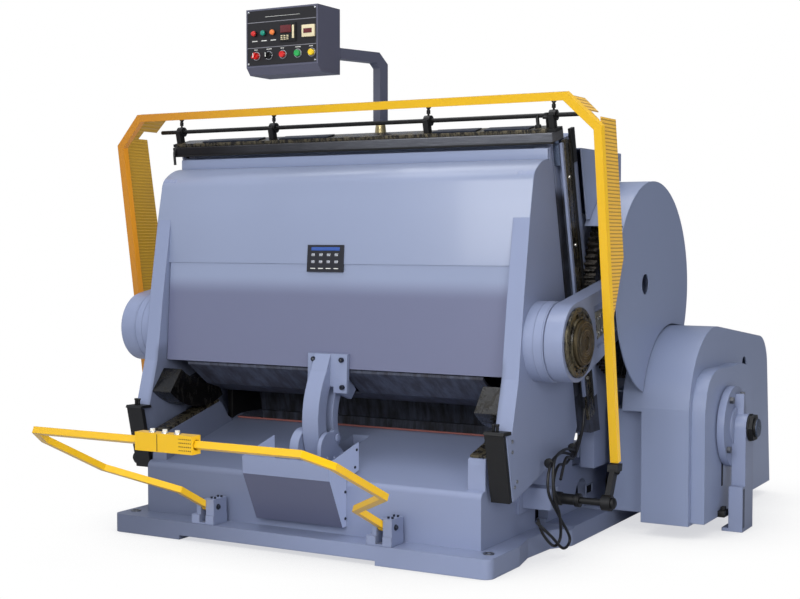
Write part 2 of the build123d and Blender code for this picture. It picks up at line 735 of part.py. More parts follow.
def guard_wing():
    back = GUARD_TUBE / 2 + 1

    def post_y(z):
        return 431 + (1858 - z) * (652 - 431) / (1858 - 420) + back

    lower = prism(
        [(post_y(985), 985), (post_y(1311) + 196, 1311), (post_y(1858) + 172, 1905), (post_y(1858), 1905)],
        GUARD_HALF - 2,
        GUARD_HALF + 2,
    )
    corner = Plane(origin=(GUARD_HALF, 431 + back, 1870), x_dir=(-140, 0, 137), z_dir=(-137, 0, -140))
    elbow = Polygon((40, 0), (190, 0), (190, 160), (100, 160), (100, 60), (40, 60), align=None)
    upper_sheet = extrude(corner * elbow, 4)
    return [lower, upper_sheet]


def trip_bar():
    elbows = [(461, -169, 272), (718, -380, 382), (712, -745, 553)]
    side = [(468, *TRIP_AXIS), *elbows, (646, *TRIP_BAR)]
    path = side + [(-x, y, z) for x, y, z in reversed(side)]
    bar = square_tube(path, TRIP_TUBE, 3)
    for x in (-468, 468):
        bar = bar + (disc(TRIP_AXIS, 20, x - 15, x + 15))
        bar = bar + disc(TRIP_AXIS, TRIP_PIN_R, x - 42, x + 42)
    return bar


def trip_block(x):
    """Cast block with a slot for the bar; the cheek nearer the operator's right is the tall one."""
    low = slab((x - 62, x + 62), (4, 110), (FLANGE_THICK, FLANGE_THICK + 42))
    tall = slab((x + 17, x + 62), (8, 106), (FLANGE_THICK, 202))
    small = slab((x - 40, x - 17), (14, 96), (FLANGE_THICK, 188))
    slot = slab((x - 17, x + 17), (0, 84), (FLANGE_THICK + 8, 260))
    return low + tall + small - slot - disc(TRIP_AXIS, TRIP_PIN_R + RUN, x - 70, x + 70)


def switch_places():
    return [SWITCH_X[0] + 67 + 61 * index for index in range(3)]


def switch_box():
    y, z = TRIP_BAR
    body = slab(SWITCH_X, (y - 26, y + 26), (z - 36, z + 36))
    body = body - disc(TRIP_BAR, TRIP_TUBE * 0.74, -400, 400)
    for x in switch_places():
        body = body - upright(x, y, z + 20, z + 60, 11)
    return body


def switch_button(x):
    return upright(x, TRIP_BAR[0], TRIP_BAR[1] + 24, TRIP_BAR[1] + 50, 10)


# ---------------------------------------------------------------- control box


def pole_collar():
    foot = upright(*POLE, 1870, 1880, 46)
    cone = Pos(*POLE, 1880) * Cone(30, 23, 62, align=(Align.CENTER, Align.CENTER, Align.MIN))
    return foot + cone


def pole():
    top = 2255
    yaw = math.radians(ARM_YAW)
    direction = (-math.sin(yaw), -math.cos(yaw))
    reach = (POLE[1] - BOX_Y[1]) / math.cos(yaw)
    end = (POLE[0] + direction[0] * reach, POLE[1] + direction[1] * reach, top)
    elbow = (POLE[0] + direction[0] * 38, POLE[1] + direction[1] * 38, top)
    path = Polyline((*POLE, 1943), (*POLE, top - 38), elbow, end)
    start = Plane(origin=(*POLE, 1943), z_dir=(0, 0, 1), x_dir=(math.cos(yaw), -math.sin(yaw), 0))
    section = start * (Rectangle(POLE_TUBE, POLE_TUBE) - Rectangle(POLE_TUBE - 8, POLE_TUBE - 8))
    tube = sweep(section, path=path, transition=Transition.RIGHT)
    behind = slab((-700, 700), (0, BOX_Y[1]), (1900, 2600))
    return tube - behind


def control_box():
    side = [
        (BOX_Y[0], BOX_Z[1]),
        (BOX_Y[0], BOX_Z[0] + 34),
        (BOX_Y[0] + 30, BOX_Z[0]),
        (BOX_Y[1], BOX_Z[0]),
        (BOX_Y[1], BOX_Z[1]),
    ]
    body = prism(side, *BOX_X)
    hollow = slab((BOX_X[0] + 4, BOX_X[1] - 4), (BOX_Y[0] + 4, BOX_Y[1] - 4), (BOX_Z[0] + 36, BOX_Z[1] - 4))
    body = body - hollow
    for x, z, radius in knob_places():
        body = body - drill(x, z, radius + 2)
    return body


def knob_places():
    """Centres and radii of the two selectors and three push buttons on the front."""
    return [(-352, 2240, 15), (-283, 2240, 15), (-205, 2240, 14), (-123, 2240, 14), (-47, 2240, 14)]


def drill(x, z, radius, y0=None, y1=None):
    y0 = BOX_Y[0] - 20 if y0 is None else y0
    y1 = BOX_Y[0] + 30 if y1 is None else y1
    return Pos(x, (y0 + y1) / 2, z) * Rot(90, 0, 0) * Cylinder(radius, y1 - y0)


def face_plate():
    plate = slab((BOX_X[0] + 8, BOX_X[1] - 8), (BOX_Y[0] - 3, BOX_Y[0]), (BOX_Z[0] + 42, BOX_Z[1] - 8))
    for x, z, radius in knob_places():
        plate = plate - drill(x, z, radius + 2)
    return plate


def lamps():
    return [drill(x, 2343, 13, BOX_Y[0] - 14, BOX_Y[0] - 3) for x in (-361, -309, -257)]


def counters():
    black = slab((-220, -131), (BOX_Y[0] - 9, BOX_Y[0] - 3), (2297, 2381))
    cream = slab((-92, -29), (BOX_Y[0] - 9, BOX_Y[0] - 3), (2313, 2362))
    return [black, cream]


def knob(index):
    x, z, radius = knob_places()[index]
    if index < 2:
        body = drill(x, z, radius, BOX_Y[0] - 20, BOX_Y[0] + 14)
        grip = Pos(x, BOX_Y[0] - 26, z) * Rot(0, 35, 0) * Box(9, 14, 28)
        return body + grip
    return drill(x, z, radius, BOX_Y[0] - 16, BOX_Y[0] + 18)


# ---------------------------------------------------------------- small parts


def small_panel():
    """Raised switch plate on the platen cover, lying against the raked sheet."""
    return prism([(346.5, 1364), (336.5, 1240), (346.2, 1240), (355, 1364)], -112, 84)


def limit_switch():
    body = tilted_prism([(350, 700), (350, 792), (398, 792), (398, 700)], 1001, 1030)
    cap = tilted_prism([(360, 792), (360, 812), (388, 812), (388, 792)], 1004, 1026)
    return body + cap


def cable(points, radius=9):
    path = Spline(*points)
    start = Plane(origin=points[0], z_dir=path % 0)
    return sweep(start * Circle(radius), path=path)


def cables():
    first = cable(
        [(1052, 640, 470), (1062, 560, 400), (1075, 470, 330)]
        + [(1078, 430, 240), (1075, 470, 150), (1060, 560, 110)]
    )
    second = cable(
        [(1052, 690, 470), (1080, 620, 420), (1105, 520, 340)]
        + [(1112, 470, 230), (1100, 540, 130), (1070, 640, 105)]
    )
    return [first, second]


def anchor_washers():
    made = []
    for x in (-ANCHOR_X, ANCHOR_X):
        for y in (ORIGIN_Y - ANCHOR_Y, ORIGIN_Y + ANCHOR_Y):
            washer = upright(x, y, FLANGE_THICK, FLANGE_THICK + 4, 24) - upright(x, y, 60, 120, ANCHOR_HOLE_R)
            made.append(washer)
    return made


os.makedirs("parts", exist_ok=True)

save("base", base())
save("rocker_rails", *both_sides(rail()))
save("bed", bed())
save("side_frames", *both_sides(side_frame()))
save("shaft_bearings", *bearings())
save("top_clamp_rail", top_clamp_rail())
save("clamp_rod", disc(ROD_AXIS, CLAMP_ROD_R, -1146, 1146), *[clamp_bracket(x) for x in CLAMP_X])
for number, place in enumerate(CLAMP_X, 1):
    save(f"wing_screw_{number}", wing_screw(place))
save("die_chase", chase())
save("die_board", die_board())
save("platen_casting", platen_plate() + platen_wall() + mirror(platen_wall(), Plane.YZ))
save("trunnion_pins", *both_sides(trunnion_pin()))
save("cutting_plate", cutting_plate())
save("platen_cover", platen_cover())
save("rockers", *both_sides(rocker()))
save("leg_pads", *both_sides(leg_pad()), *both_sides(leg_cap()))
save("guide_arm", guide_arm())
save("guide_bracket", guide_bracket(), guide_pin())
save("guide_roller", guide_roller())
save("chute_cover", chute_cover())
save("connecting_rods", *both_sides(connecting_rod()), *both_sides(crank_pin()))
save("trunnion_rings", *both_sides(trunnion_ring()))
save("main_shaft", disc(CRANK_AXIS, MAIN_SHAFT_R, -GEAR_OUT, GEAR_OUT))
save("crank_gears", *both_sides(crank_gear()))
save("counter_shaft", counter_shaft(), *both_sides(crank_pinion()), counter_gear())
save("clutch_shaft", clutch_shaft(), shaft_nut())
save("flywheel", flywheel())
save("motor_pulley", motor_pulley())
save("v_belts", *[v_belt(FLYWHEEL_IN + 27 + i * 28) for i in range(4)])
save("motor", motor(), motor_base())
save("flywheel_cover", flywheel_cover(), drive_housing())
save("gear_covers", gear_cover_right(), mirror(gear_cover(), Plane.YZ))
save("rear_housing", rear_housing())
save("bearing_pedestal", bearing_pedestal())
save("fixing_bolts", *pedestal_bolts(), *anchor_washers())
save("guard_frame", guard_frame())
save("guard_wings", *[piece for sheet in guard_wing() for piece in both_sides(sheet)])
save("guard_levers", *both_sides(guard_lever()), *both_sides(guard_shaft()))
save("guard_bearings", *both_sides(guard_bearing()))
save("trip_bar", trip_bar())
save("trip_bar_blocks", trip_block(-468), trip_block(468))
save("switch_box", switch_box())
for number, place in enumerate(switch_places(), 1):
    save(f"switch_button_{number}", switch_button(place))
save("small_panel", small_panel())
save("limit_switch", limit_switch())
save("cables", *cables())
save("pole_collar", pole_collar())
save("panel_pole", pole())
save("control_box", control_box(), face_plate())
save("panel_lamps", *lamps(), *counters())
PANEL_CONTROLS = ("red_selector", "black_selector", "red_button", "green_button", "yellow_button")
for number, name in enumerate(PANEL_CONTROLS):
    save(name, knob(number))
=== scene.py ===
"""Looks for a platen die-cutting press: finishes on the CAD pieces, and the sheet metal, bolts, wiring and
panel fittings that the CAD model leaves plain. Metres, +Z up, +Y to the rear, +X to the operator's right."""

import json
import math

import bmesh
import bpy
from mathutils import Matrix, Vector

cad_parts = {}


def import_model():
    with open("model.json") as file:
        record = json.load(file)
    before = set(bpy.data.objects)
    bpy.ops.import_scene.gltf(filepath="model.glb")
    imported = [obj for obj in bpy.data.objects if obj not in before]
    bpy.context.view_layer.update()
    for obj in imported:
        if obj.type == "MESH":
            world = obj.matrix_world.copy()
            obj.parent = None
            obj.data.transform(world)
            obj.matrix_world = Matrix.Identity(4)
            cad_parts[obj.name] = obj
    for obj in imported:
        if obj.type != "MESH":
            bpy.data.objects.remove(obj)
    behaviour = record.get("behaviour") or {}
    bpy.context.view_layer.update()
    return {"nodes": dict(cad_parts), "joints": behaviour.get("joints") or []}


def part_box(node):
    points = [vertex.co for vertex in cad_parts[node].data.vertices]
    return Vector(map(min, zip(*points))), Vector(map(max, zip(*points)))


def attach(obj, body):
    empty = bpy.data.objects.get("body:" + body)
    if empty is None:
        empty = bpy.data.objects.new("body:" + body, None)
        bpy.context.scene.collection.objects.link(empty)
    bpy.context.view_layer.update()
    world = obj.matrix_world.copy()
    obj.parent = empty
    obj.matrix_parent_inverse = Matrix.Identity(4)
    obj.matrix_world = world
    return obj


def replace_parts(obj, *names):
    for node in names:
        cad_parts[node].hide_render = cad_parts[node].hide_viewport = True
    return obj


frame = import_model()
scene = bpy.context.scene

TILT = math.radians(14)
X_AXIS = Vector((1, 0, 0))
Y_AXIS = Vector((0, 1, 0))
Z_AXIS = Vector((0, 0, 1))
UP_BED = Vector((0, -math.sin(TILT), math.cos(TILT)))
OFF_BED = Vector((0, math.cos(TILT), math.sin(TILT)))

FRONT = -1.0  # Y of the front edge of the base
BASE_SIDE = 0.89
COVER_HALF = 0.9235
SKIN_HALF = 1.002
WALL_OUT = 1.005
LOUVRE_PITCH = 0.0155
RING_PITCH = 0.011
CABLE_R = 0.0065

WORLD_LEVEL = 0.38
KEY_POWER = 350
TOP_POWER = 230
FILL_POWER = 100
WHITE = (1, 1, 1, 1)


class Place:
    """The box of a CAD node, with short names for its faces."""

    def __init__(self, node):
        low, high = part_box(node)
        self.x0, self.y0, self.z0 = low
        self.x1, self.y1, self.z1 = high
        self.mid = (low + high) / 2
        self.size = high - low


def joint_place(name):
    for joint in frame["joints"]:
        if joint["name"] == name:
            return Vector(joint["pos_m"])
    raise ValueError(name)


TRUNNION = joint_place("platen_rock")
CLUTCH = joint_place("clutch_turn")
TRIP = joint_place("trip_bar_swing")
GUARD = joint_place("guard_swing")


def at(x, axis):
    """The point of an axis along X at one X value."""
    return (x, axis.y, axis.z)


def tilted(a, b, x=0.0):
    """The point a to the rear and b up from the trunnion axis, in the bed's tilted frame."""
    return TRUNNION + OFF_BED * a + UP_BED * b + X_AXIS * x


# ---- materials


def colour(red, green, blue):
    """Screen colour, 0 to 255, as linear light."""

    def channel(value):
        value = value / 255
        return value / 12.92 if value <= 0.04045 else ((value + 0.055) / 1.055) ** 2.4

    return (channel(red), channel(green), channel(blue), 1)


class Nodes:
    """Short calls that add nodes to a tree."""

    def __init__(self, tree):
        self.nodes = tree.nodes
        self.links = tree.links

    def feed(self, socket, value):
        """Links a socket to another node's output, or sets its value."""
        if hasattr(value, "node"):
            self.links.new(value, socket)
        else:
            socket.default_value = value

    def node(self, kind, **values):
        """A new node, its inputs given by name with _ for a space."""
        node = self.nodes.new("ShaderNode" + kind)
        for name, value in values.items():
            self.feed(node.inputs[name.replace("_", " ")], value)
        return node

    def calculate(self, operation, *values):
        node = self.node("Math")
        node.operation = operation
        for socket, value in zip(node.inputs, values):
            self.feed(socket, value)
        return node.outputs["Value"]

    def for_camera(self, others, seen, output):
        """Sends one shader to the camera and the other to the light that bounces."""
        ray = self.node("LightPath").outputs["Is Camera Ray"]
        mixer = self.node("MixShader")
        for socket, value in zip(mixer.inputs, (ray, others, seen)):
            self.feed(socket, value)
        self.feed(self.nodes[output].inputs["Surface"], mixer.outputs["Shader"])


class Finish(Nodes):
    """A node material with a Principled shader and short calls for its inputs."""

    def __init__(self, name, tone, roughness=0.4, metallic=0.0, coat=0.0):
        self.base = colour(*tone)
        self.material = bpy.data.materials.new(name)
        self.material.use_nodes = True
        super().__init__(self.material.node_tree)
        self.shader = self.nodes["Principled BSDF"]
        values = {"Base Color": self.base, "Roughness": roughness, "Metallic": metallic, "Coat Weight": coat}
        for socket, value in {**values, "Coat Roughness": 0.12}.items():
            self.shader.inputs[socket].default_value = value
        self.coordinates = self.node("TexCoord").outputs["Object"]
        self.material.diffuse_color = self.base

    def shade(self, factor):
        """The base colour made darker or lighter."""
        return tuple(channel * factor for channel in self.base[:3]) + (1,)

    def put(self, source, name):
        self.feed(self.shader.inputs[name], source)

    def stretched(self, x, y, z):
        return self.node("Mapping", Vector=self.coordinates, Scale=(x, y, z)).outputs["Vector"]

    def noise(self, scale, detail=3, rough=0.5, vector=None):
        place = vector or self.coordinates
        node = self.node("TexNoise", Scale=scale, Detail=detail, Roughness=rough, Vector=place)
        return node.outputs["Fac"]

    def axis(self, letter):
        return self.node("SeparateXYZ", Vector=self.coordinates).outputs[letter]

    def span(self, source, low, high, to_low=0.0, to_high=1.0):
        """Maps low..high of a value smoothly to to_low..to_high."""
        node = self.node("MapRange", Value=source, From_Min=low, From_Max=high, To_Min=to_low, To_Max=to_high)
        node.interpolation_type = "SMOOTHSTEP"
        return node.outputs["Result"]

    def vector(self, operation, first, second=(0, 0, 0)):
        node = self.node("VectorMath")
        node.operation = operation
        for socket, value in zip(node.inputs, (first, second)):
            self.feed(socket, value)
        return node.outputs["Value" if operation == "LENGTH" else "Vector"]

    def wave(self, source, pitch):
        return self.calculate("SINE", self.calculate("MULTIPLY", source, math.tau / pitch), 0)

    def mix(self, factor, first, second):
        node = self.node("Mix")
        node.data_type = "RGBA"
        for name, value in (("Factor_Float", factor), ("A_Color", first), ("B_Color", second)):
            self.feed(next(s for s in node.inputs if s.identifier == name), value)
        return next(s for s in node.outputs if s.identifier == "Result_Color")

    def bump(self, height, strength, distance, normal=None):
        node = self.node("Bump", Height=height, Strength=strength, Distance=distance)
        if normal is not None:
            self.feed(node.inputs["Normal"], normal)
        self.put(node.outputs["Normal"], "Normal")

    def round_edges(self, radius):
        node = self.node("Bevel", Radius=radius)
        node.samples = 3
        return node.outputs["Normal"]

    def orange_peel(self, edge, strength=0.06, distance=0.0004):
        self.bump(self.noise(420, 2, 0.5), strength, distance, self.round_edges(edge))

    def occlusion(self, distance):
        node = self.node("AmbientOcclusion", Distance=distance)
        node.samples = 3
        return node.outputs["AO"]

    def facing(self, letter, low, high):
        """1 where the surface looks along an axis, 0 elsewhere."""
        normal = self.node("NewGeometry").outputs["True Normal"]
        return self.span(self.node("SeparateXYZ", Vector=normal).outputs[letter], low, high)

    def glow(self, strength, low=0.3, high=0.9):
        """Painted light: a little light of its own on the faces that look right."""
        self.put(self.calculate("MULTIPLY", self.facing("X", low, high), strength), "Emission Strength")


def paint(name, tone, roughness=0.4, edge=0.004, painted_low_shade=None, low=(0, 1), painted_side_light=0.0):
    """Sprayed enamel: faint orange peel and soft edges. An optional low tone is painted shade below a height,
    and an optional glow is painted light that lifts the faces that look right."""
    made = Finish(name, tone, roughness, 0.0, 0.2)
    made.put(made.base, "Emission Color")
    # painted light: an optional glow on the faces that look right
    if painted_side_light:
        made.glow(painted_side_light)
    mottle_and_low_shade = made.mix(made.span(made.noise(1.1, 2, 0.4), 0.3, 0.7), made.shade(0.97), made.shade(1.03))
    # painted shade: darker below a height
    if painted_low_shade is not None:
        mottle_and_low_shade = made.mix(made.span(made.axis("Z"), *low), colour(*painted_low_shade), mottle_and_low_shade)
    made.put(mottle_and_low_shade, "Base Color")
    made.orange_peel(edge)
    return made.material


def left_shaded_paint(name, tone, left_shade_tone, painted_side_light):
    """Enamel that darkens towards the left: painted shade."""
    made = Finish(name, tone, 0.34, 0.0, 0.2)
    # painted shade: darker towards the left
    painted_shade_blend = made.mix(made.span(made.axis("X"), -1.2, 0.1), colour(*left_shade_tone), made.base)
    made.put(painted_shade_blend, "Base Color")
    made.put(painted_shade_blend, "Emission Color")
    made.glow(painted_side_light)
    made.orange_peel(0.003)
    return made.material


def steel(name, tone, roughness=0.4, grain=(20, 20, 20), depth=0.05):
    """Machined metal with a drawn grain along the axis whose scale is small."""
    made = Finish(name, tone, roughness, 0.92)
    lines = made.noise(14, 6, 0.7, made.stretched(*grain))
    made.put(made.mix(made.span(lines, 0.3, 0.7), made.shade(0.7), made.shade(1.2)), "Base Color")
    made.put(made.span(made.noise(9, 4), 0.25, 0.75, roughness - 0.1, roughness + 0.14), "Roughness")
    made.bump(lines, depth, 0.0008, made.round_edges(0.0015))
    return made.material


def greasy(name, tone, oil, share, scale, fleck):
    """Bare metal under dark grease: clots, drips, and small bright flecks, partly scuffs and partly painted
    glints.
    """
    made = Finish(name, tone, 0.45, 0.75)
    drips = made.noise(scale, 8, 0.72, made.stretched(1.6, 1.6, 0.7))
    covered = made.span(drips, share - 0.09, share + 0.09)
    # bright flecks: partly bare-metal scuffs and partly painted glints
    bright = made.span(made.noise(scale * 9, 3, 0.8), 0.66, 0.72, 0.0, fleck)
    smeared = made.mix(covered, colour(*oil), made.base)
    made.put(made.mix(bright, smeared, colour(205, 200, 185)), "Base Color")
    made.put(made.span(drips, share - 0.12, share + 0.16, 0.16, 0.55), "Roughness")
    made.put(made.span(covered, 0, 1, 0.15, 0.85), "Metallic")
    made.bump(drips, 0.5, 0.004, made.round_edges(0.002))
    return made.material


def plastic(name, tone, roughness=0.3, coat=0.3, edge=0.0015):
    made = Finish(name, tone, roughness, 0.0, coat)
    made.put(made.mix(made.noise(60, 2), made.shade(0.92), made.shade(1.06)), "Base Color")
    made.bump(made.noise(900, 2), 0.08, 0.0003, made.round_edges(edge))
    return made.material


def lens(name, tone, roughness=0.18):
    return plastic(name, tone, roughness, 0.4)


def rubber(name, tone, roughness=0.6):
    made = Finish(name, tone, roughness)
    made.put(made.mix(made.noise(40, 4), made.shade(0.7), made.shade(1.5)), "Base Color")
    made.bump(made.noise(500, 3), 0.2, 0.0005, made.round_edges(0.002))
    return made.material


def plywood(name):
    made = Finish(name, (206, 172, 122), 0.6)
    grain = made.noise(7, 8, 0.65, made.stretched(0.5, 8, 8))
    made.put(made.mix(made.span(grain, 0.3, 0.7), colour(170, 128, 80), made.base), "Base Color")
    made.bump(grain, 0.15, 0.001)
    return made.material


def louvre(name, tone):
    """Pressed sheet with a close row of horizontal slots. Their shadows are painted as dark stripes, painted
    shade darkens it towards the left, and a painted glow lifts the faces that look right.
    """
    made = Finish(name, tone, 0.34)
    wave = made.wave(made.axis("Z"), LOUVRE_PITCH)
    # painted shade towards the left, painted slot shadows as dark stripes, painted glow on the right-facing
    # faces
    painted_shade_blend = made.mix(made.span(made.axis("X"), -1, 1), made.shade(0.55), made.base)
    slot_shadow_stripes = made.mix(made.span(wave, 0.1, 0.75), painted_shade_blend, made.shade(0.5))
    made.put(slot_shadow_stripes, "Base Color")
    made.put(slot_shadow_stripes, "Emission Color")
    made.glow(0.4, -0.1, 0.5)
    made.bump(wave, 0.4, 0.003, made.round_edges(0.002))
    return made.material


def pin_face(name, tone, centre):
    """Turned end cover: rings worn to bare metal round an oily middle."""
    made = Finish(name, tone, 0.45, 0.5)
    offset = made.vector("SUBTRACT", made.coordinates, centre)
    length = made.vector("LENGTH", made.vector("MULTIPLY", offset, (0, 1, 1)))
    reach = made.calculate("ADD", length, made.calculate("MULTIPLY", made.noise(30, 4), 0.004))
    rings = made.wave(reach, RING_PITCH)
    worn = made.mix(made.span(rings, -0.3, 0.9), made.shade(0.45), made.shade(1.25))
    middle = made.mix(made.span(reach, 0.02, 0.05), made.shade(0.35), worn)
    oily = made.span(made.noise(24, 6, 0.7), 0.42, 0.6)
    made.put(made.mix(oily, middle, made.shade(0.3)), "Base Color")
    made.bump(rings, 0.35, 0.002)
    return made.material


def dark_inside(name, tone, box, shadow_tone, left_shade=1.0):
    """Enamel that turns to painted shadow, streaked with oil, inside a box of (X, Y, Z) limits, and to
    painted shade towards the left.
    """
    made = Finish(name, tone, 0.42)
    soft = 0.03
    inside = None
    for letter, (low, high) in zip("XYZ", box):
        value = made.axis(letter)
        if letter == "X":
            value = made.calculate("ABSOLUTE", value, 0)
        past_low = made.span(value, low - soft, low + soft)
        below_high = made.span(value, high - soft, high + soft, 1, 0)
        part = made.calculate("MULTIPLY", past_low, below_high)
        inside = part if inside is None else made.calculate("MULTIPLY", inside, part)
    # painted shadow inside the box, streaked with oil
    streaks = made.noise(9, 6, 0.7, made.stretched(3, 1, 0.6))
    oil = made.mix(made.span(streaks, 0.35, 0.7), colour(*shadow_tone), made.shade(0.3))
    # painted shade: darker towards the left
    left_shaded_base = made.mix(made.span(made.axis("X"), -1.0, 0.35), made.shade(left_shade), made.base)
    made.put(made.mix(inside, left_shaded_base, oil), "Base Color")
    made.put(made.span(inside, 0, 1, 0.42, 0.5), "Roughness")
    made.orange_peel(0.005, 0.1, 0.0006)
    return made.material


def shaded_rail(name):
    """Ground bar with its grain, darkened towards the left end by painted shade."""
    made = Finish(name, (110, 112, 118), 0.42, 0.55)
    lines = made.noise(14, 6, 0.7, made.stretched(1, 60, 60))
    clean = made.mix(made.span(lines, 0.3, 0.7), colour(84, 86, 92), colour(132, 134, 140))
    # painted shade: near black towards the left end
    reach = made.calculate("ADD", made.axis("X"), made.calculate("MULTIPLY", made.noise(5, 4), 0.5))
    made.put(made.mix(made.span(reach, -0.7, 0.9), colour(34, 32, 34), clean), "Base Color")
    made.bump(lines, 0.1, 0.0008, made.round_edges(0.002))
    return made.material


def chute_paint(name, tone, painted_low_shade):
    """Hood enamel: painted shade where the front turns under, and a painted glow that lightens its right
    side.
    """
    made = Finish(name, tone, 0.4, 0.0, 0.06)
    # painted shade on the faces that turn down
    painted_shade_blend = made.mix(made.facing("Z", -0.3, -0.12), colour(*painted_low_shade), made.base)
    made.put(painted_shade_blend, "Base Color")
    made.put(painted_shade_blend, "Emission Color")
    # painted light: a glow on the faces that look right
    made.glow(0.5)
    made.orange_peel(0.003)
    return made.material


def panel_box(name, sides, front):
    """Enamelled box whose front face carries a dark laminate with two pale rules."""
    box = Place("control_box")
    made = Finish(name, sides, 0.4)
    height = made.axis("Z")
    face = made.span(made.axis("Y"), box.y0 + 0.001, box.y0 + 0.0028, 1, 0)
    rules = []
    for level in (box.z0 + 0.123, box.z0 + 0.24):
        away = made.calculate("ABSOLUTE", made.calculate("SUBTRACT", height, level), 0)
        rules.append(made.span(away, 0.0008, 0.0022, 0.75, 0))
    laminate = made.mix(made.calculate("MAXIMUM", *rules), colour(*front), colour(150, 150, 156))
    made.put(made.mix(face, made.base, laminate), "Base Color")
    made.bump(made.noise(600, 2), 0.06, 0.0004, made.round_edges(0.002))
    return made.material


BLUE = (136, 146, 175)
YELLOW = (232, 182, 18)
# Boxes where painted shadow darkens the platen, the base and the bed.
PLATEN_SHADOW_BOX = ((-0.5, 0.922), (-1.2, 0.2), (-0.5, 0.87))
BASE_SHADOW_BOX = ((-0.5, 0.808), (-0.265, 0.2), (0.2, 1.0))
BED_SHADOW_BOX = ((-0.5, 1.2), (-0.9, 0.5), (-0.2, 1.6))

FINISHES = {
    "paint": paint("machine_enamel", BLUE, 0.4, 0.006),
    # painted light: a faint glow on the sheet faces that look right
    "sheet": paint("sheet_enamel", (136, 147, 176), 0.38, painted_side_light=0.1),
    "strip": paint("strip_enamel", (142, 153, 182), 0.38, 0.002),
    # painted shade underneath and painted light on the faces that look right
    "chute": chute_paint("chute_enamel", BLUE, (92, 96, 120)),
    # painted shade: the raked cover darkens below 1.12 to 1.22 m
    "cover": paint("cover_enamel", (142, 152, 178), 0.36, 0.002, (108, 112, 138), (1.12, 1.22)),
    # painted shadow inside the boxes, streaked with oil; the base is also darker towards the left as painted
    # shade
    "platen": dark_inside("platen_enamel", BLUE, PLATEN_SHADOW_BOX, (46, 46, 56)),
    "base": dark_inside("base_enamel", BLUE, BASE_SHADOW_BOX, (34, 33, 38), 0.5),
    "bed": dark_inside("bed_enamel", BLUE, BED_SHADOW_BOX, (36, 35, 38)),
    # painted light: a glow on the yellow faces that look right
    "yellow": paint("bar_enamel", YELLOW, 0.34, 0.003, painted_side_light=0.4),
    # painted shade towards the left and painted light on the faces that look right
    "guard": left_shaded_paint("guard_enamel", YELLOW, (206, 136, 34), 0.45),
    # painted slot shadows, painted shade towards the left and painted light on the right-facing faces
    "louvre": louvre("guard_louvre", (226, 176, 60)),
    "motor": paint("motor_enamel", (70, 84, 108), 0.42, 0.003),
    # painted shade towards the rail's left end
    "rail": shaded_rail("ground_rail"),
    "plain_steel": steel("plain_steel", (150, 152, 156), 0.32, (30, 30, 1), 0.12),
    "shiny": steel("shiny_steel", (200, 198, 190), 0.25),
    "bolt": steel("bolt_steel", (120, 122, 126), 0.34),
    "dark_bolt": steel("blackened_steel", (60, 64, 76)),
    "plate": steel("plate_steel", (188, 190, 194), 0.22, (1, 50, 50)),
    "bronze": steel("bronze", (92, 82, 62), 0.42, depth=0.1),
    "disc": pin_face("pin_cover", (92, 82, 64), TRUNNION),
    "collar": steel("collar_brass", (196, 180, 134), 0.34, (20, 20, 1), 0.08),
    "smeared": greasy("smeared_steel", (176, 172, 158), (60, 54, 44), 0.46, 30, 0.4),
    "gear": greasy("greased_iron", (70, 66, 62), (18, 16, 13), 0.5, 26, 0.1),
    "grease": greasy("greased_steel", (118, 110, 90), (24, 21, 17), 0.52, 20, 0.35),
    "shoe": greasy("greased_shoe", (52, 50, 46), (10, 9, 9), 0.56, 16, 0.25),
    "rust": plastic("rusty_line", (140, 84, 78), 0.6, 0.0),
    "black": plastic("black_enamel", (5, 5, 6), 0.5, 0.0, 0.002),
    "rubber": rubber("black_rubber", (6, 6, 7)),
    "cable": rubber("cable_jacket", (20, 20, 22), 0.45),
    "wood": plywood("plywood"),
    "box": panel_box("panel_box", (90, 91, 108), (24, 22, 24)),
    "pole": paint("pole_enamel", (84, 86, 102), 0.36, 0.002),
    "panel": plastic("panel_laminate", (24, 24, 32), 0.4, 0.1),
    "alloy": steel("cast_alloy", (132, 146, 170), depth=0.1),
    "alloy_dark": steel("shaft_end_steel", (98, 108, 128), depth=0.1),
    "white": plastic("white_plastic", (232, 232, 224)),
    "silver": steel("bezel_metal", (210, 212, 214), 0.25, depth=0.03),
    "red": plastic("red_plastic", (214, 30, 24)),
    "green": plastic("green_plastic", (40, 172, 84)),
    "yellow_cap": plastic("yellow_plastic", (250, 210, 30)),
    "cream": plastic("cream_plastic", (232, 218, 178)),
    "orange": lens("orange_lens", (240, 130, 60)),
    "teal": lens("teal_lens", (22, 140, 118)),
    "red_lens": lens("red_lens", (206, 40, 36)),
    "blue_glass": lens("blue_display", (48, 84, 160), 0.15),
    "red_glass": lens("red_display", (96, 24, 26), 0.15),
}

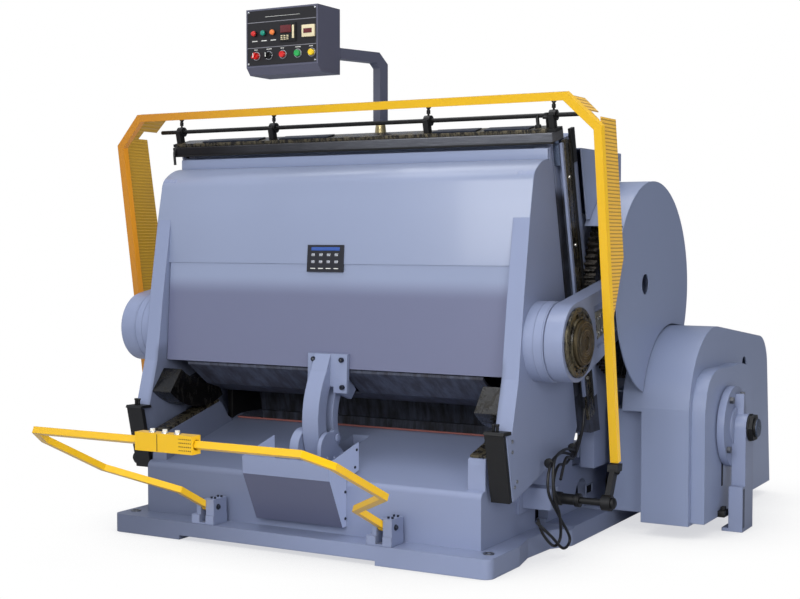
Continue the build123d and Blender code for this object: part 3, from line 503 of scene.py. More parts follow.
NODE_FINISH = {
    "paint": "side_frames guide_arm guide_bracket connecting_rods bearing_pedestal guard_bearings "
    "trip_bar_blocks",
    "base": "base",
    "bed": "bed",
    "platen": "platen_casting",
    "sheet": "flywheel_cover gear_covers rear_housing",
    "chute": "chute_cover",
    "cover": "platen_cover",
    "box": "control_box",
    "pole": "panel_pole",
    "yellow": "trip_bar switch_box",
    "guard": "guard_frame",
    "louvre": "guard_wings",
    "motor": "motor",
    "rail": "top_clamp_rail",
    "plate": "cutting_plate die_chase",
    "bolt": "fixing_bolts",
    "bronze": "trunnion_pins shaft_bearings",
    "collar": "pole_collar",
    "gear": "crank_gears counter_shaft flywheel motor_pulley main_shaft",
    "grease": "rocker_rails trunnion_rings guide_roller",
    "shoe": "rockers",
    "black": "clamp_rod wing_screw_1 wing_screw_2 wing_screw_3 wing_screw_4 guard_levers clutch_shaft "
    "black_selector panel_lamps",
    "rubber": "leg_pads v_belts",
    "cable": "cables",
    "wood": "die_board",
    "panel": "small_panel",
    "alloy": "limit_switch",
    "white": "switch_button_1 switch_button_2 switch_button_3",
    "red": "red_selector red_button",
    "green": "green_button",
    "yellow_cap": "yellow_button",
}

for finish, names in NODE_FINISH.items():
    for node_name in names.split():
        node = frame["nodes"][node_name]
        node.data.materials.clear()
        node.data.materials.append(FINISHES[finish])


# ---- shapes


def directions(points):
    """The way a run of points heads at each of them."""
    points = [Vector(point) for point in points]
    neighbours = zip(points[:1] + points, points[1:] + points[-1:])
    return [(after - before).normalized() for before, after in neighbours]


def curve_points(points, steps=8):
    """A smooth run through the points."""
    points = [Vector(p) for p in points]
    ends = [points[0] * 2 - points[1]] + points + [points[-1] * 2 - points[-2]]
    run = []
    for p0, p1, p2, p3 in zip(ends, ends[1:], ends[2:], ends[3:]):
        for step in range(steps):
            t = step / steps
            bend = (2 * p0 - 5 * p1 + 4 * p2 - p3) * t**2
            twist = (3 * p1 - p0 - 3 * p2 + p3) * t**3
            run.append(0.5 * (2 * p1 + (p2 - p0) * t + bend + twist))
    return run + [points[-1]]


def bezier(p0, p1, p2, p3, steps):
    run = []
    for k in range(steps + 1):
        t = k / steps
        s = 1 - t
        weights = (s**3, 3 * s * s * t, 3 * s * t * t, t**3)
        run.append(tuple(sum(w * v for w, v in zip(weights, values)) for values in zip(p0, p1, p2, p3)))
    return run


def turned(centre, axis, profile, steps):
    """The rings that a profile of (radius, distance along the axis) makes round the axis."""
    axis = Vector(axis).normalized()
    start = Z_AXIS if abs(axis.z) < 0.9 else Y_AXIS
    first = start.cross(axis).normalized()
    second = axis.cross(first)
    angles = [math.tau * k / steps for k in range(steps)]
    arms = [first * math.cos(angle) + second * math.sin(angle) for angle in angles]
    return [[Vector(centre) + axis * along + arm * radius for arm in arms] for radius, along in profile]


class Shape:
    """A mesh built up from simple solids, made into one piece at the end."""

    def __init__(self):
        self.mesh = bmesh.new()

    def rings(self, rings, joined=False):
        """Skins a row of rings, and caps the two ends or, when joined, skins the last ring to the first."""
        loops = [[self.mesh.verts.new(point) for point in ring] for ring in rings]
        count = len(loops[0])
        for lower, upper in zip(loops, loops[1:] + loops[:1] if joined else loops[1:]):
            for i in range(count):
                j = (i + 1) % count
                self.mesh.faces.new((lower[i], lower[j], upper[j], upper[i]))
        if not joined:
            self.mesh.faces.new(loops[0][::-1])
            self.mesh.faces.new(loops[-1])
        return self

    def prism(self, outline, depth):
        """A flat outline of 3-D points pushed along a vector."""
        outline = [Vector(p) for p in outline]
        return self.rings([outline, [p + Vector(depth) for p in outline]])

    def side_prism(self, outline, x0, x1):
        """An outline in (Y, Z) between two X values."""
        return self.prism([(x0, y, z) for y, z in outline], (x1 - x0, 0, 0))

    def tilted_prism(self, outline, x0, x1):
        """An outline in the bed's (a, b) between two X values."""
        corners = [tilted(a, b) for a, b in outline]
        return self.side_prism([(p.y, p.z) for p in corners], x0, x1)

    def block(self, low, high):
        (x0, y0, z0), (x1, y1, z1) = low, high
        return self.side_prism([(y0, z0), (y1, z0), (y1, z1), (y0, z1)], x0, x1)

    def lathe(self, centre, axis, profile, steps=28):
        return self.rings(turned(centre, axis, profile, steps))

    def ring(self, centre, axis, profile):
        """A closed profile turned round the axis."""
        return self.rings(turned(centre, axis, profile, 28), joined=True)

    def hexagon(self, centre, axis, radius, height):
        low = [(radius * 0.9, 0), (radius, height * 0.12)]
        high = [(radius, height * 0.8), (radius * 0.88, height)]
        return self.lathe(centre, axis, low + high, 6)

    def cap_screw(self, centre, axis, radius):
        """Socket head screw with a round recess."""
        head = [(radius, 0), (radius, radius * 0.95), (radius * 0.92, radius * 1.1)]
        recess = [(radius * 0.55, radius * 1.1), (radius * 0.5, radius * 0.55)]
        return self.lathe(centre, axis, head + recess, 18)

    def bolt(self, centre, axis, radius):
        """Hexagon head on a washer."""
        self.lathe(centre, axis, [(radius * 1.35, 0), (radius * 1.35, radius * 0.2)], 20)
        return self.hexagon(Vector(centre) + axis * radius * 0.2, axis, radius, radius * 0.75)

    def wire(self, points, radius, up=X_AXIS):
        """A round section carried along a smooth run through the points."""
        run = curve_points(points)
        angles = [math.tau * k / 10 for k in range(10)]
        circle = [(radius * math.cos(angle), radius * math.sin(angle)) for angle in angles]
        rings = []
        for point, ahead in zip(run, directions(run)):
            side = ahead.cross(up).normalized()
            over = side.cross(ahead)
            rings.append([point + side * a + over * b for a, b in circle])
        return self.rings(rings)

    def mirrored(self):
        """Adds the same shapes on the other side of the mid plane."""
        all_parts = self.mesh.verts[:] + self.mesh.edges[:] + self.mesh.faces[:]
        copied = bmesh.ops.duplicate(self.mesh, geom=all_parts)["geom"]
        verts = [g for g in copied if isinstance(g, bmesh.types.BMVert)]
        faces = [g for g in copied if isinstance(g, bmesh.types.BMFace)]
        bmesh.ops.scale(self.mesh, vec=(-1, 1, 1), verts=verts)
        bmesh.ops.reverse_faces(self.mesh, faces=faces)
        return self

    def make(self, name, finish, body="frame", bevel=0.0, crease=35):
        """Turns the mesh into one piece that rides on a body."""
        bmesh.ops.recalc_face_normals(self.mesh, faces=self.mesh.faces[:])
        if bevel:
            limit = math.radians(30)
            sharp = [e for e in self.mesh.edges if len(e.link_faces) == 2 and e.calc_face_angle() > limit]
            options = {"segments": 2, "profile": 0.6, "affect": "EDGES", "clamp_overlap": True}
            bmesh.ops.bevel(self.mesh, geom=sharp, offset=bevel, **options)
        data = bpy.data.meshes.new(name)
        self.mesh.to_mesh(data)
        self.mesh.free()
        data.shade_smooth()
        data.set_sharp_from_angle(angle=math.radians(crease))
        data.materials.append(FINISHES[finish])
        piece = bpy.data.objects.new(name, data)
        scene.collection.objects.link(piece)
        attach(piece, body)
        return piece


# ---- platen


def platen_cover():
    """Raked sheet with a rounded shoulder and side edges, the skin over its upper part and its top strip."""
    box = Place("platen_cover")
    profile = [(0, 0), (0.025, 0.35), (0.034, 0.476), (0.05, 0.7), (0.064, 0.765)]
    profile += bezier((0.078, 0.83), (0.084, 0.88), (0.118, 0.902), (0.182, 0.929), 12)
    profile += [(0.208, 0.934), (0.236, 0.937)]
    outside = [(box.y0 + y, box.z0 + z) for y, z in profile]
    radius = 0.01
    depth_behind = 0.012
    rings = []
    for (y, z), along in zip(outside, directions(outside)):
        inward = Vector((along[1], -along[0]))
        row = []
        for sign in (-1, 1):
            corner = []
            for k in range(7):
                angle = math.pi / 2 * k / 6
                x = sign * (COVER_HALF - radius + radius * math.cos(angle))
                depth = radius * (1 - math.sin(angle))
                corner.append((x, y + inward[0] * depth, z + inward[1] * depth))
            row += corner if sign < 0 else corner[::-1]
        inside = (y + inward[0] * depth_behind, z + inward[1] * depth_behind)
        rings.append(row + [(COVER_HALF, *inside), (-COVER_HALF, *inside)])
    sheet = Shape().rings(rings).make("platen_cover_sheet", "cover", "platen", 0, 40)
    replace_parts(sheet, "platen_cover")

    skin_foot = 1.27
    upper = [point for point in outside if point[1] > skin_foot]
    skin = []
    for (y, z), along in zip(upper, directions(upper)):
        out = Vector((-along[1], along[0])) * 0.0036
        edge = [(SKIN_HALF, y, z)]
        edge.append((SKIN_HALF + 0.0025, y + out[0] * 0.5, z + out[1] * 0.5))
        edge.append((SKIN_HALF - 0.0005, y + out[0], z + out[1]))
        skin.append([(-x, *place) for x, *place in edge] + edge[::-1])
    Shape().rings(skin).make("platen_upper_skin", "cover", "platen", 0, 40)
    strip = Shape().block((-1.003, box.y1 - 0.006, box.z1 - 0.048), (1.003, box.y1, box.z1))
    strip.make("platen_top_strip", "strip", "platen", 0.002)


def platen_fittings():
    """Guide arm screws, and the side wall screws, cap studs, boss seams and pin covers on both sides."""
    arm = Place("guide_arm")
    pads = Place("leg_pads")
    flange = FRONT + 0.297
    screws = Shape()
    sockets = Shape()
    for x, drop in ((-0.046, 0.026), (0.104, 0.026), (0.112, 0.15)):
        lean = 0.06 * drop
        screws.cap_screw((x, flange - lean, arm.z1 - drop), -Y_AXIS, 0.0115)
        sockets.lathe((x, flange - 0.0128, arm.z1 - drop), -Y_AXIS, [(0.0052, 0), (0.0048, 0.0012)], 6)
    screws.make("guide_arm_screws", "dark_bolt", "platen")
    sockets.make("guide_arm_sockets", "bolt", "platen")

    outer = Shape()
    for y, z in ((0.188, 0.503), (0.186, 0.548), (0.236, 0.372), (0.212, 0.352)):
        outer.lathe((WALL_OUT, FRONT + y, z), X_AXIS, [(0.008, 0), (0.008, 0.003), (0.004, 0.006)], 16)
    outer.mirrored().make("leg_screws", "plain_steel", "platen")

    cap = Shape()
    stud = [(0.007, 0), (0.007, 0.022), (0.009, 0.024), (0.009, 0.032)]
    for x in (0.945, 0.962):
        cap.lathe((x, pads.y0 + 0.03, pads.z1), Z_AXIS, stud, 14)
    cap.mirrored().make("leg_cap_studs", "black", "platen", 0.001)

    seam = Shape()
    for x, r in ((1.05, 0.1765), (1.089, 0.1762)):
        bead = [(r - 0.003, 0), (r, 0.001), (r, 0.003), (r - 0.003, 0.004)]
        seam.lathe(at(x, TRUNNION), X_AXIS, bead, 72)
    seam.mirrored().make("boss_seams", "paint", "platen")

    rim = [(0.094, -0.001), (0.094, 0.004), (0.082, 0.005), (0.08, 0.001), (0.066, 0.001)]
    hub = [(0.064, 0.006), (0.03, 0.007), (0.028, 0.003), (0.012, 0.003)]
    disc = Shape().lathe(at(Place("trunnion_pins").x1, TRUNNION), X_AXIS, rim + hub, 64)
    disc.mirrored().make("pin_covers", "disc", "platen")


def rod_fittings():
    """Collars and studs on the trunnion rings, and the bolted plates in the rod heads."""
    face = Place("trunnion_rings").x1
    rim = [(0.151, -0.004), (0.151, 0.004), (0.144, 0.009), (0.132, 0.009), (0.13, 0.003)]
    lip = [(0.114, 0.003), (0.112, 0.014), (0.1035, 0.014), (0.1035, -0.002)]
    collars = Shape().lathe(at(face, TRUNNION), X_AXIS, rim + lip, 72)
    collars.mirrored().make("ring_collars", "grease", "rods")

    studs = Shape()
    reach = 0.122
    for k in range(12):
        angle = math.tau * (k + 0.5) / 12
        spot = (face + 0.003, TRUNNION.y + reach * math.cos(angle), TRUNNION.z + reach * math.sin(angle))
        studs.hexagon(spot, X_AXIS, 0.0065, 0.006)
    studs.mirrored().make("ring_studs", "grease", "rods")

    pocket = face - 0.021
    shine = Shape()
    for a in (0.232, 0.266, 0.3, 0.334):
        for b in (-0.036, 0.03):
            shine.bolt(tilted(a, b, pocket), X_AXIS, 0.0105)
    shine.mirrored().make("rod_head_bolts", "shiny", "rods", 0.0006)
    corners = ((0.212, -0.066), (0.212, 0.062), (0.352, 0.052), (0.352, -0.058))
    plate = Shape().tilted_prism(corners, pocket - 0.001, pocket + 0.003)
    plate.mirrored().make("rod_head_plates", "smeared", "rods", 0.001)


# ---- bed, base and covers


def bed_side_strips():
    """Oily guide bars, shadow gaps and a clean rear strip down both sides of the bed."""
    face = Place("bed").x1

    def bar(a0, a1, b0, b1, proud, name, finish):
        outline = ((a0, b0), (a0, b1), (a1, b1), (a1, b0))
        shape = Shape().tilted_prism(outline, face - 0.002, face + proud)
        shape.mirrored().make(name, finish, "frame", 0.0012)

    bar(0.35, 0.37, -0.38, 0.8, 0.01, "bed_edge_strips", "strip")
    bar(0.372, 0.412, -0.5, 0.81, 0.012, "bed_guide_bars", "grease")
    bar(0.414, 0.42, -0.5, 0.81, 0.002, "bed_guide_gaps", "black")
    bar(0.422, 0.456, -0.5, 0.8, 0.007, "bed_guide_backs", "grease")
    bar(0.456, 0.48, -0.5, 0.82, 0.002, "bed_rear_gaps", "black")
    bar(0.48, 0.519, -0.42, 0.8, 0.005, "bed_rear_strips", "strip")
    bar(0.458, 0.5, 0.69, 0.845, 0.014, "bed_top_blocks", "black")

    bolts = Shape()
    for b in (-0.3, 0.02, 0.33, 0.64):
        bolts.cap_screw(tilted(0.392, b, face + 0.01), X_AXIS, 0.008)
    bolts.mirrored().make("bed_side_screws", "shiny")

    heights = [0.78 - 0.1 * k for k in range(13)]
    wire = Shape().wire([tilted(0.437 + 0.004 * math.sin(b * 9), b, face + 0.013) for b in heights], 0.0035)
    heights = [0.7 - 0.1 * k for k in range(12)]
    wire.wire([tilted(0.46 + 0.006 * math.sin(b * 7 + 1), b, face + 0.01) for b in heights], 0.003)
    wire.make("bed_side_wires", "cable")


def top_rail_fittings():
    rail = Place("top_clamp_rail")
    half = rail.x1
    crest = ((0.288, 0.858), (0.288, 0.874), (0.392, 0.874), (0.392, 0.858))
    top = Shape().tilted_prism(crest, -half + 0.02, half - 0.03)
    top.make("rail_top_strip", "grease", "frame", 0.001)
    plates = Shape()
    for x0, x1 in ((-0.86, -0.52), (-0.4, -0.12), (0.44, 0.66), (0.7, 0.92)):
        plates.tilted_prism(((0.296, 0.872), (0.296, 0.881), (0.36, 0.881), (0.36, 0.872)), x0, x1)
    plates.make("rail_top_plates", "dark_bolt", "frame", 0.001)
    corners = ((0.268, 0.812), (0.268, 0.82), (0.3, 0.82), (0.3, 0.806))
    Shape().tilted_prism(corners, -half, half).make("rail_lower_lip", "black", "frame", 0.001)

    y, z = rail.y0 + 0.012, rail.z0
    run = [(-half + 0.02, y, z + 0.05), (-half + 0.01, y - 0.012, z + 0.02)]
    run.append((-half + 0.012, y - 0.01, z - 0.045))
    Shape().wire(run, 0.007).make("rail_end_hook", "black")

    knob = [(0.006, 0), (0.006, 0.055), (0.019, 0.055), (0.019, 0.066), (0.01, 0.068), (0.01, 0.08)]
    stem = [(0.014, 0), (0.014, 0.028), (0.008, 0.03), (0.008, 0.075)]
    screw = Shape().lathe(tilted(0.34, 0.858, half - 0.045), UP_BED, knob, 20)
    screw.lathe(tilted(0.34, 0.858, half - 0.09), UP_BED, stem, 20)
    screw.make("rail_end_screws", "black", "frame", 0.0008)


def cable_loops():
    """Loose wiring from the bed side round the guard bearing, in four sagging loops."""
    runs = (
        [(1.052, -0.19, 0.5), (1.056, -0.26, 0.428), (1.06, -0.42, 0.452), (1.07, -0.56, 0.42),
         (1.078, -0.6, 0.31), (1.085, -0.5, 0.19), (1.095, -0.4, 0.075), (1.09, -0.46, 0.04),
         (1.075, -0.56, 0.11), (1.066, -0.69, 0.19)],
        [(1.056, -0.17, 0.52), (1.06, -0.24, 0.446), (1.072, -0.4, 0.466), (1.082, -0.545, 0.436),
         (1.092, -0.575, 0.3), (1.096, -0.52, 0.2), (1.08, -0.47, 0.09), (1.07, -0.52, 0.06),
         (1.062, -0.62, 0.13), (1.056, -0.66, 0.2)],
        [(1.05, -0.2, 0.48), (1.054, -0.33, 0.4), (1.066, -0.47, 0.4), (1.076, -0.54, 0.33),
         (1.082, -0.5, 0.25)],
        [(1.06, -0.15, 0.62), (1.062, -0.18, 0.52), (1.074, -0.3, 0.42), (1.088, -0.43, 0.432),
         (1.1, -0.52, 0.352)],
    )
    wires = Shape()
    for run in runs:
        wires.wire(run, CABLE_R)
    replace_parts(wires.make("cable_loops", "cable"), "cables")
    ties = Shape()
    for spot in ((1.058, -0.235, 0.448), (1.078, -0.548, 0.424)):
        ties.lathe(Vector(spot) - X_AXIS * 0.02, Y_AXIS, [(0.022, -0.005), (0.022, 0.005)], 12)
    ties.make("cable_ties", "black", "frame", 0.001)


def base_fittings():
    """Window rims, the line along the basin, black blocks painting the shade in the side openings, and trip
    block screws.
    """
    y0, y1, z0, z1 = 0.286, 0.372, 0.136, 0.186
    inner = BASE_SIDE - 0.001
    edge = 0.006
    rims = Shape()
    sides = [(y0, z1 - edge, y1, z1), (y0, z0, y1, z0 + edge)]
    sides += [(y0, z0, y0 + edge, z1), (y1 - edge, z0, y1, z1)]
    for low_y, low_z, high_y, high_z in sides:
        rims.block((inner, low_y, low_z), (BASE_SIDE + 0.007, high_y, high_z))
    rims.mirrored().make("base_window_rims", "paint", "frame", 0.002)
    dark = Shape().block((inner, y0 + 0.004, z0 + 0.004), (BASE_SIDE + 0.0015, y1 - 0.004, z1 - 0.004))
    dark.mirrored().make("base_windows", "black")

    rear = 0.322 + 0.608 * math.tan(TILT) + 0.004
    line = Shape().wire([(x, -0.262, rear) for x in (-0.796, 0.0, 0.796)], 0.0048, Z_AXIS)
    line.make("basin_edge_line", "rust")

    # black blocks that paint the shade seen through the side openings
    shadow_blocks = Shape().block((0.826, -0.27, 0.3), (0.856, 0.06, 0.64))
    shadow_blocks.block((0.826, -0.36, 0.022), (0.834, 0.76, 0.235))
    shadow_blocks.mirrored().make("pit_shadow_blocks", "black", "frame", 0.002)

    blocks = Place("trip_bar_blocks")
    tops = Shape()
    for x in (-0.468, 0.468):
        for dx, dy in ((0.03, 0.03), (0.05, 0.03), (0.03, 0.078), (0.05, 0.078)):
            head = [(0.0055, 0), (0.0055, 0.008), (0.003, 0.009)]
            tops.lathe((x + dx, blocks.y0 + dy, blocks.z1), Z_AXIS, head, 12)
        foot = [(0.005, 0), (0.005, 0.007), (0.003, 0.008)]
        tops.lathe((x - 0.028, blocks.y0 + 0.04, 0.188), Z_AXIS, foot, 12)
        tops.bolt(at(x + 0.062, TRIP), X_AXIS, 0.01)
    tops.make("trip_block_screws", "dark_bolt")


def chute_fittings():
    chute = Place("chute_cover")
    screws = Shape()
    for y, z in ((0.117, 0.278), (0.117, 0.16), (0.215, 0.452), (0.2, 0.376)):
        screws.lathe((chute.x1, FRONT + y, z), X_AXIS, [(0.0065, 0), (0.0065, 0.003), (0.004, 0.005)], 14)
    screws.mirrored().make("chute_screws", "dark_bolt")
    bracket = Place("guide_bracket")
    pin = joint_place("guide_roller_spin")
    ends = Shape()
    for x, way in ((bracket.x1, X_AXIS), (bracket.x0, -X_AXIS)):
        ends.lathe(at(x, pin), way, [(0.019, -0.004), (0.019, 0.004), (0.015, 0.006)], 24)
    for y, z in ((0.228, 0.4), (0.286, 0.394)):
        ends.cap_screw((0.067, FRONT + y, z), X_AXIS, 0.007)
    ends.make("guide_pin_ends", "paint")


def flywheel_side_fittings():
    arch = Place("flywheel_cover").x1
    slot = Shape().block((arch - 0.001, 0.452, 0.21), (arch + 0.002, 0.474, 0.36))
    slot.make("arch_slot", "black", "frame", 0.001)
    clip = Shape().block((arch - 0.001, 0.395, 0.07), (arch + 0.034, 0.47, 0.1))
    clip.block((arch + 0.01, 0.41, 0.098), (arch + 0.03, 0.44, 0.118))
    clip.make("arch_foot_clip", "black", "frame", 0.002)
    nose = [(0.044, -0.03), (0.044, 0.0), (0.041, 0.003), (0.008, 0.003), (0.006, -0.004)]
    end = Shape().lathe(at(Place("clutch_shaft").x1, CLUTCH), X_AXIS, nose, 40)
    end.make("shaft_end", "alloy_dark", "clutch")
    post = Place("bearing_pedestal").x1
    lines = Shape()
    for y in (0.44, 0.456):
        lines.block((post - 0.001, y, 0.02), (post + 0.0015, y + 0.003, 0.205))
    lines.make("pedestal_grooves", "black")
    hub = [(0.1, -0.001), (0.1, 0.01), (0.092, 0.014), (0.07, 0.014)]
    Shape().lathe(at(post - 0.0695, CLUTCH), X_AXIS, hub, 48).make("pedestal_hub_rim", "paint")


def panel_fittings():
    """Marks, lamps, timer, counter, bezels and corner screws on the control box face."""
    box = Place("control_box")
    face, low, left = box.y0, box.z0, box.x0
    lamps = {"red_lens": left + 0.051, "teal": left + 0.103, "orange": left + 0.155}
    buttons = {"red_button": "red", "green_button": "green", "yellow_button": "yellow_cap"}
    selectors = ("red_selector", "black_selector")
    knobs = [Place(name) for name in (*selectors, *buttons)]

    def plate(shape, x0, x1, z0, z1, front=-0.0008, behind=0.0004):
        """A thin block on the face, from front to behind measured from it."""
        shape.block((x0, face + front, z0), (x1, face + behind, z1))

    bezels = Shape()
    for knob in knobs:
        profile = [(0.0172, 0), (0.0205, 0), (0.0195, 0.003), (0.0172, 0.003)]
        bezels.ring((knob.mid.x, face, knob.mid.z), -Y_AXIS, profile)
    bezels.make("knob_bezels", "silver", "control_arm")

    marks = Shape()
    for index, knob in enumerate(knobs):
        for part in range(2 + index % 2):
            x = knob.mid.x - 0.012 + part * 0.01
            plate(marks, x, x + 0.007, low + 0.112, low + 0.116)
    for x in lamps.values():
        plate(marks, x - 0.016, x + 0.014, low + 0.152, low + 0.156)
    plate(marks, left + 0.11, left + 0.3, box.z1 - 0.04, box.z1 - 0.0385)
    marks.make("panel_marks", "white", "control_arm")

    dome = [(0.0125, 0), (0.0125, 0.004), (0.0105, 0.008), (0.005, 0.01)]
    for name, x in lamps.items():
        lamp = Shape().lathe((x, face - 0.01, low + 0.188), -Y_AXIS, dome, 24)
        lamp.make("lamp_" + name, name, "control_arm")

    glass = Shape()
    x0, x1, z0, z1 = left + 0.192, left + 0.281, low + 0.142, low + 0.226
    plate(glass, x0 + 0.008, x1 - 0.022, z0 + 0.04, z1 - 0.01, -0.0125, -0.008)
    glass.make("timer_glass", "red_glass", "control_arm", 0.001)
    keys = Shape()
    for row in range(3):
        for column in range(3):
            x = x0 + 0.01 + column * 0.016
            z = z0 + 0.008 + row * 0.008
            plate(keys, x, x + 0.01, z, z + 0.0045, -0.0115, -0.008)
    plate(keys, x1 - 0.016, x1 - 0.006, z0 + 0.012, z1 - 0.012, -0.012, -0.008)
    keys.make("timer_keys", "cream", "control_arm", 0.0008)

    case = Shape()
    x0, x1, z0, z1 = left + 0.32, left + 0.383, low + 0.158, low + 0.207
    plate(case, x0 - 0.003, x1 + 0.003, z0 - 0.003, z1 + 0.003, -0.012, -0.002)
    case.make("counter_case", "cream", "control_arm", 0.002)
    digits = Shape()
    plate(digits, x0 + 0.008, x1 - 0.01, z0 + 0.014, z1 - 0.014, -0.014, -0.011)
    digits.make("counter_glass", "red_glass", "control_arm", 0.0008)

    screws = Shape()
    for x in (left + 0.014, box.x1 - 0.014):
        for z in (low + 0.05, box.z1 - 0.014):
            screws.lathe((x, face, z), -Y_AXIS, [(0.0045, -0.001), (0.0045, 0.001), (0.003, 0.002)], 14)
    screws.make("panel_screws", "silver", "control_arm")

    for name, finish in buttons.items():
        knob = Place(name)
        profile = [(0.0085, -0.001), (0.0125, -0.001), (0.0115, 0.0016), (0.0085, 0.0012)]
        rim = Shape().ring((knob.mid.x, knob.y0 - 0.0002, knob.mid.z), -Y_AXIS, profile)
        rim.make(name + "_rim", finish, name)
    for name in selectors:
        knob = Place(name)
        x, y, z = knob.mid.x, knob.y0, knob.mid.z
        pointer = Shape().block((x - 0.002, y - 0.0008, z - 0.009), (x + 0.002, y + 0.003, z + 0.011))
        pointer.make(name + "_mark", "white", name, 0.0004)


def small_panel_fittings():
    """Display, keys and their marks on the leaning face of the switch plate."""
    panel = Place("small_panel")
    left, low = panel.x0, panel.z0
    lean = 0.01 / panel.size.z

    def plate(shape, x0, x1, z0, z1, proud):
        y = panel.y0 + (z0 - low) * lean
        y_top = panel.y0 + (z1 - low) * lean
        shape.side_prism([(y - proud, z0), (y + 0.002, z0), (y_top + 0.002, z1), (y_top - proud, z1)], x0, x1)

    display = Shape()
    plate(display, left + 0.022, panel.x1 - 0.02, panel.z1 - 0.026, panel.z1 - 0.01, 0.0015)
    display.make("cover_display", "blue_glass", "platen", 0.0005)
    columns = [left + column * 0.042 for column in range(4)]
    keys = Shape()
    for z in (low + 0.072, low + 0.04):
        for x in columns:
            plate(keys, x + 0.024, x + 0.042, z, z + 0.013, 0.0025)
    keys.make("cover_keys", "silver", "platen", 0.0008)
    marks = Shape()
    for x in columns:
        plate(marks, x + 0.02, x + 0.046, low + 0.014, low + 0.018, 0.0008)
    marks.make("cover_key_marks", "white", "platen")


def rear_fittings():
    """Doors, vents, handles, screws and seams of the rear housing."""
    housing = Place("rear_housing")
    back, top = housing.y1, housing.z1
    doors = Shape()
    for x0, x1 in ((-0.8, -0.03), (0.03, 0.8)):
        doors.block((x0, back - 0.006, 0.42), (x1, back + 0.006, 1.24))
    doors.make("rear_doors", "sheet", "frame", 0.003)
    vents = Shape()
    for x in (-0.7, 0.16):
        for row in range(9):
            z = 0.62 + row * 0.034
            outline = [(x, back + 0.004, z), (x, back + 0.016, z - 0.004), (x, back + 0.004, z + 0.016)]
            vents.prism(outline, (0.54, 0, 0))
    vents.make("rear_vents", "sheet", "frame", 0.001)
    grips = Shape()
    for x in (-0.1, 0.1):
        bow = ((0.004, 0.9), (0.034, 0.915), (0.034, 1.005), (0.004, 1.02))
        grips.wire([(x, back + out, z) for out, z in bow], 0.007)
    for x in (-0.79, 0.79):
        for z in (0.52, 1.12):
            grips.lathe((x, back + 0.008, z), Z_AXIS, [(0.008, -0.035), (0.008, 0.035)], 14)
    grips.make("rear_handles", "black")
    screws = Shape()
    for x in (-0.86, -0.43, 0.0, 0.43, 0.86):
        screws.hexagon((x, back - 0.001, 0.375), Y_AXIS, 0.009, 0.007)
        for y in (0.12, 0.44):
            screws.hexagon((x, y, top - 0.001), Z_AXIS, 0.009, 0.007)
    screws.make("rear_screws", "dark_bolt")
    ridge = Shape()
    for x in (-0.915, 0.0, 0.915):
        ridge.block((x - 0.012, 0.02, top - 0.002), (x + 0.012, 0.478, top + 0.005))
    ridge.make("rear_top_seams", "sheet", "frame", 0.002)


def motor_fittings():
    """Fan cowl and grille, terminal box and bolts."""
    left = Place("motor").x0
    axis = joint_place("motor_spin")
    fan = [(0.139, -0.06), (0.139, 0.03), (0.128, 0.046), (0.06, 0.05), (0.02, 0.05)]
    Shape().lathe(at(left, axis), -X_AXIS, fan, 48).make("motor_cowl", "motor")
    grille = Shape()
    for k in range(5):
        radius = 0.03 + 0.018 * k
        wire = [(radius - 0.003, 0), (radius + 0.003, 0), (radius, 0.004)]
        grille.ring(at(left - 0.049, axis), -X_AXIS, wire)
    grille.make("motor_grille", "black")
    case = Shape().block((1.0, axis.y - 0.055, axis.z + 0.12), (1.12, axis.y + 0.055, axis.z + 0.175))
    case.make("motor_terminals", "motor", "frame", 0.006)
    studs = Shape()
    for x in (1.012, 1.108):
        for y in (-0.043, 0.043):
            studs.hexagon((x, axis.y + y, axis.z + 0.174), Z_AXIS, 0.006, 0.005)
    for x in (0.955, 1.155):
        for y in (-0.115, 0.115):
            studs.bolt((x, axis.y + y, 0.061), Z_AXIS, 0.012)
    studs.make("motor_bolts", "bolt")


def die_rules():
    """Bent cutting rules for two folding cartons, with rubber strips beside them."""
    plane = 0.333
    rules = Shape()
    pads = Shape()
    right = [(0.1, -0.22), (0.12, -0.16), (0.12, -0.02), (0.3, -0.01), (0.31, 0.22), (0.12, 0.23)]
    right += [(0.12, 0.46), (0.09, 0.58)]
    outline = [(-0.1, -0.22)] + right + [(-x, b) for x, b in reversed(right)]
    for shift in (-0.37, 0.37):
        corners = [tilted(plane, b, x + shift) for x, b in outline]
        for start, end in zip(corners, corners[1:]):
            across = (end - start).normalized().cross(OFF_BED)
            side = across * 0.0011
            rules.prism([start - side, start + side, end + side, end - side], -OFF_BED * 0.0075)
            offset = across * 0.01
            strip = [start + offset - side * 3, start + offset + side * 3]
            strip += [end + offset + side * 3, end + offset - side * 3]
            pads.prism(strip, -OFF_BED * 0.006)
    rules.make("cutting_rules", "shiny")
    pads.make("ejector_rubbers", "rust")


def trip_bar_fittings():
    """Sound holes, button rims and the cover seam of the switch box."""
    box = Place("switch_box")
    holes = Shape()
    for row in range(4):
        for column in range(7):
            spot = (box.x1 - 0.062 + column * 0.0088, box.y0, box.z0 + 0.014 + row * 0.0145)
            holes.lathe(spot, -Y_AXIS, [(0.0024, -0.001), (0.0024, 0.0008)], 8)
    holes.make("switch_box_holes", "black", "trip_bar")
    rims = Shape()
    for number in (1, 2, 3):
        cap = Place("switch_button_%d" % number).mid
        profile = [(0.0113, -0.001), (0.0145, -0.001), (0.0138, 0.003), (0.0113, 0.003)]
        rims.ring((cap.x, cap.y, box.z1), Z_AXIS, profile)
    rims.make("switch_button_rims", "silver", "trip_bar")
    x, y = box.x0 + 0.108, box.y0
    seam = Shape().block((x, y - 0.0012, box.z0 + 0.003), (x + 0.0025, y + 0.001, box.z1 - 0.003))
    seam.make("switch_box_seam", "black", "trip_bar")


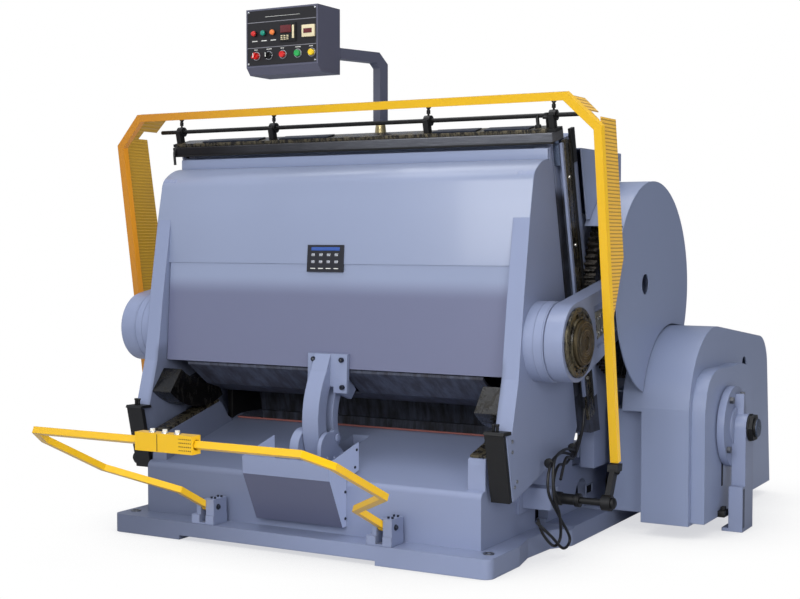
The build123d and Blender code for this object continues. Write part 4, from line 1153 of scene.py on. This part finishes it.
def guard_fittings():
    """Lever knuckles and pinch bolts at the foot of the guard posts, and sleeves on the guard shafts."""
    lever = Place("guard_levers").x1
    knobs = Shape().lathe(at(lever - 0.012, GUARD), X_AXIS, [(0.024, 0), (0.024, 0.014), (0.014, 0.02)], 24)
    knobs.bolt((lever - 0.016, GUARD.y + 0.085, GUARD.z + 0.122), X_AXIS, 0.009)
    knobs.mirrored().make("guard_lever_bolts", "black", "guard")
    profile = [(0.03, 0), (0.03, 0.03), (0.024, 0.034), (0.024, 0.092), (0.03, 0.096), (0.03, 0.118)]
    sleeve = Shape().lathe(at(1.046, GUARD), X_AXIS, profile)
    sleeve.mirrored().make("guard_shaft_sleeves", "black", "guard")


platen_cover()
platen_fittings()
rod_fittings()
bed_side_strips()
top_rail_fittings()
cable_loops()
base_fittings()
chute_fittings()
flywheel_side_fittings()
panel_fittings()
small_panel_fittings()
rear_fittings()
motor_fittings()
die_rules()
trip_bar_fittings()
guard_fittings()


# ---- stage, light and camera


def floor():
    """White to the camera, with a painted soft contact shade, and grey to the light that bounces off it."""
    made = Finish("floor", (246, 246, 247), 0.6)
    made.put(made.mix(made.noise(0.7, 2), colour(178, 178, 180), colour(186, 186, 188)), "Base Color")
    # painted contact shade from ambient occlusion, seen by the camera
    near = made.span(made.occlusion(0.5), 0.1, 0.9)
    glow = made.node("Emission", Color=made.mix(near, colour(206, 207, 212), WHITE))
    made.for_camera(made.shader.outputs["BSDF"], glow.outputs["Emission"], "Material Output")
    bpy.ops.mesh.primitive_plane_add(size=60, location=(0, 0, 0))
    plane = bpy.context.object
    plane.name = "floor"
    plane.data.materials.append(made.material)


def world():
    """White to the camera, and a pale room for the light, brighter to the front, the left and above."""
    room = bpy.data.worlds.new("studio")
    room.use_nodes = True
    tree = Nodes(room.node_tree)
    way = tree.node("SeparateXYZ", Vector=tree.node("TexCoord").outputs["Generated"])
    level = WORLD_LEVEL
    for letter, factor in (("X", -0.27), ("Y", -0.16), ("Z", 0.12)):
        level = tree.calculate("MULTIPLY_ADD", way.outputs[letter], factor, level)
    light = tree.nodes["Background"]
    tree.feed(light.inputs["Color"], (0.9, 0.95, 1.07, 1))
    tree.feed(light.inputs["Strength"], tree.calculate("MAXIMUM", level, 0.04))
    white = tree.node("Background", Color=WHITE)
    tree.for_camera(light.outputs["Background"], white.outputs["Background"], "World Output")
    scene.world = room


def softbox(name, place, target, size, power):
    light = bpy.data.lights.new(name, "AREA")
    light.shape = "RECTANGLE"
    light.size, light.size_y = size
    light.energy = power
    lamp = bpy.data.objects.new(name, light)
    lamp.location = place
    lamp.rotation_euler = (Vector(target) - Vector(place)).to_track_quat("-Z", "Y").to_euler()
    scene.collection.objects.link(lamp)


def camera():
    """Long lens at chest height off the right front corner, pitched 2.55 degrees down."""
    data = bpy.data.cameras.new("camera")
    data.sensor_width = 36
    data.lens = 63.05
    data.clip_end = 200
    view = bpy.data.objects.new("camera", data)
    view.location = (3.4496, -6.1036, 1.4)
    view.rotation_euler = (math.radians(87.45), 0, math.radians(29.4))
    scene.collection.objects.link(view)
    scene.camera = view


floor()
world()
softbox("key", (1.9, -8.0, 4.2), (0, 0, 0.9), (4.5, 4), KEY_POWER)
softbox("fill", (6.0, -5.0, 2.0), (1.3, 0.5, 0.6), (2.5, 2.5), FILL_POWER)
softbox("top", (-0.6, -0.4, 7.0), (0, 0, 0), (6, 5), TOP_POWER)
camera()
scene.view_settings.view_transform = "Standard"
scene.view_settings.look = "None"
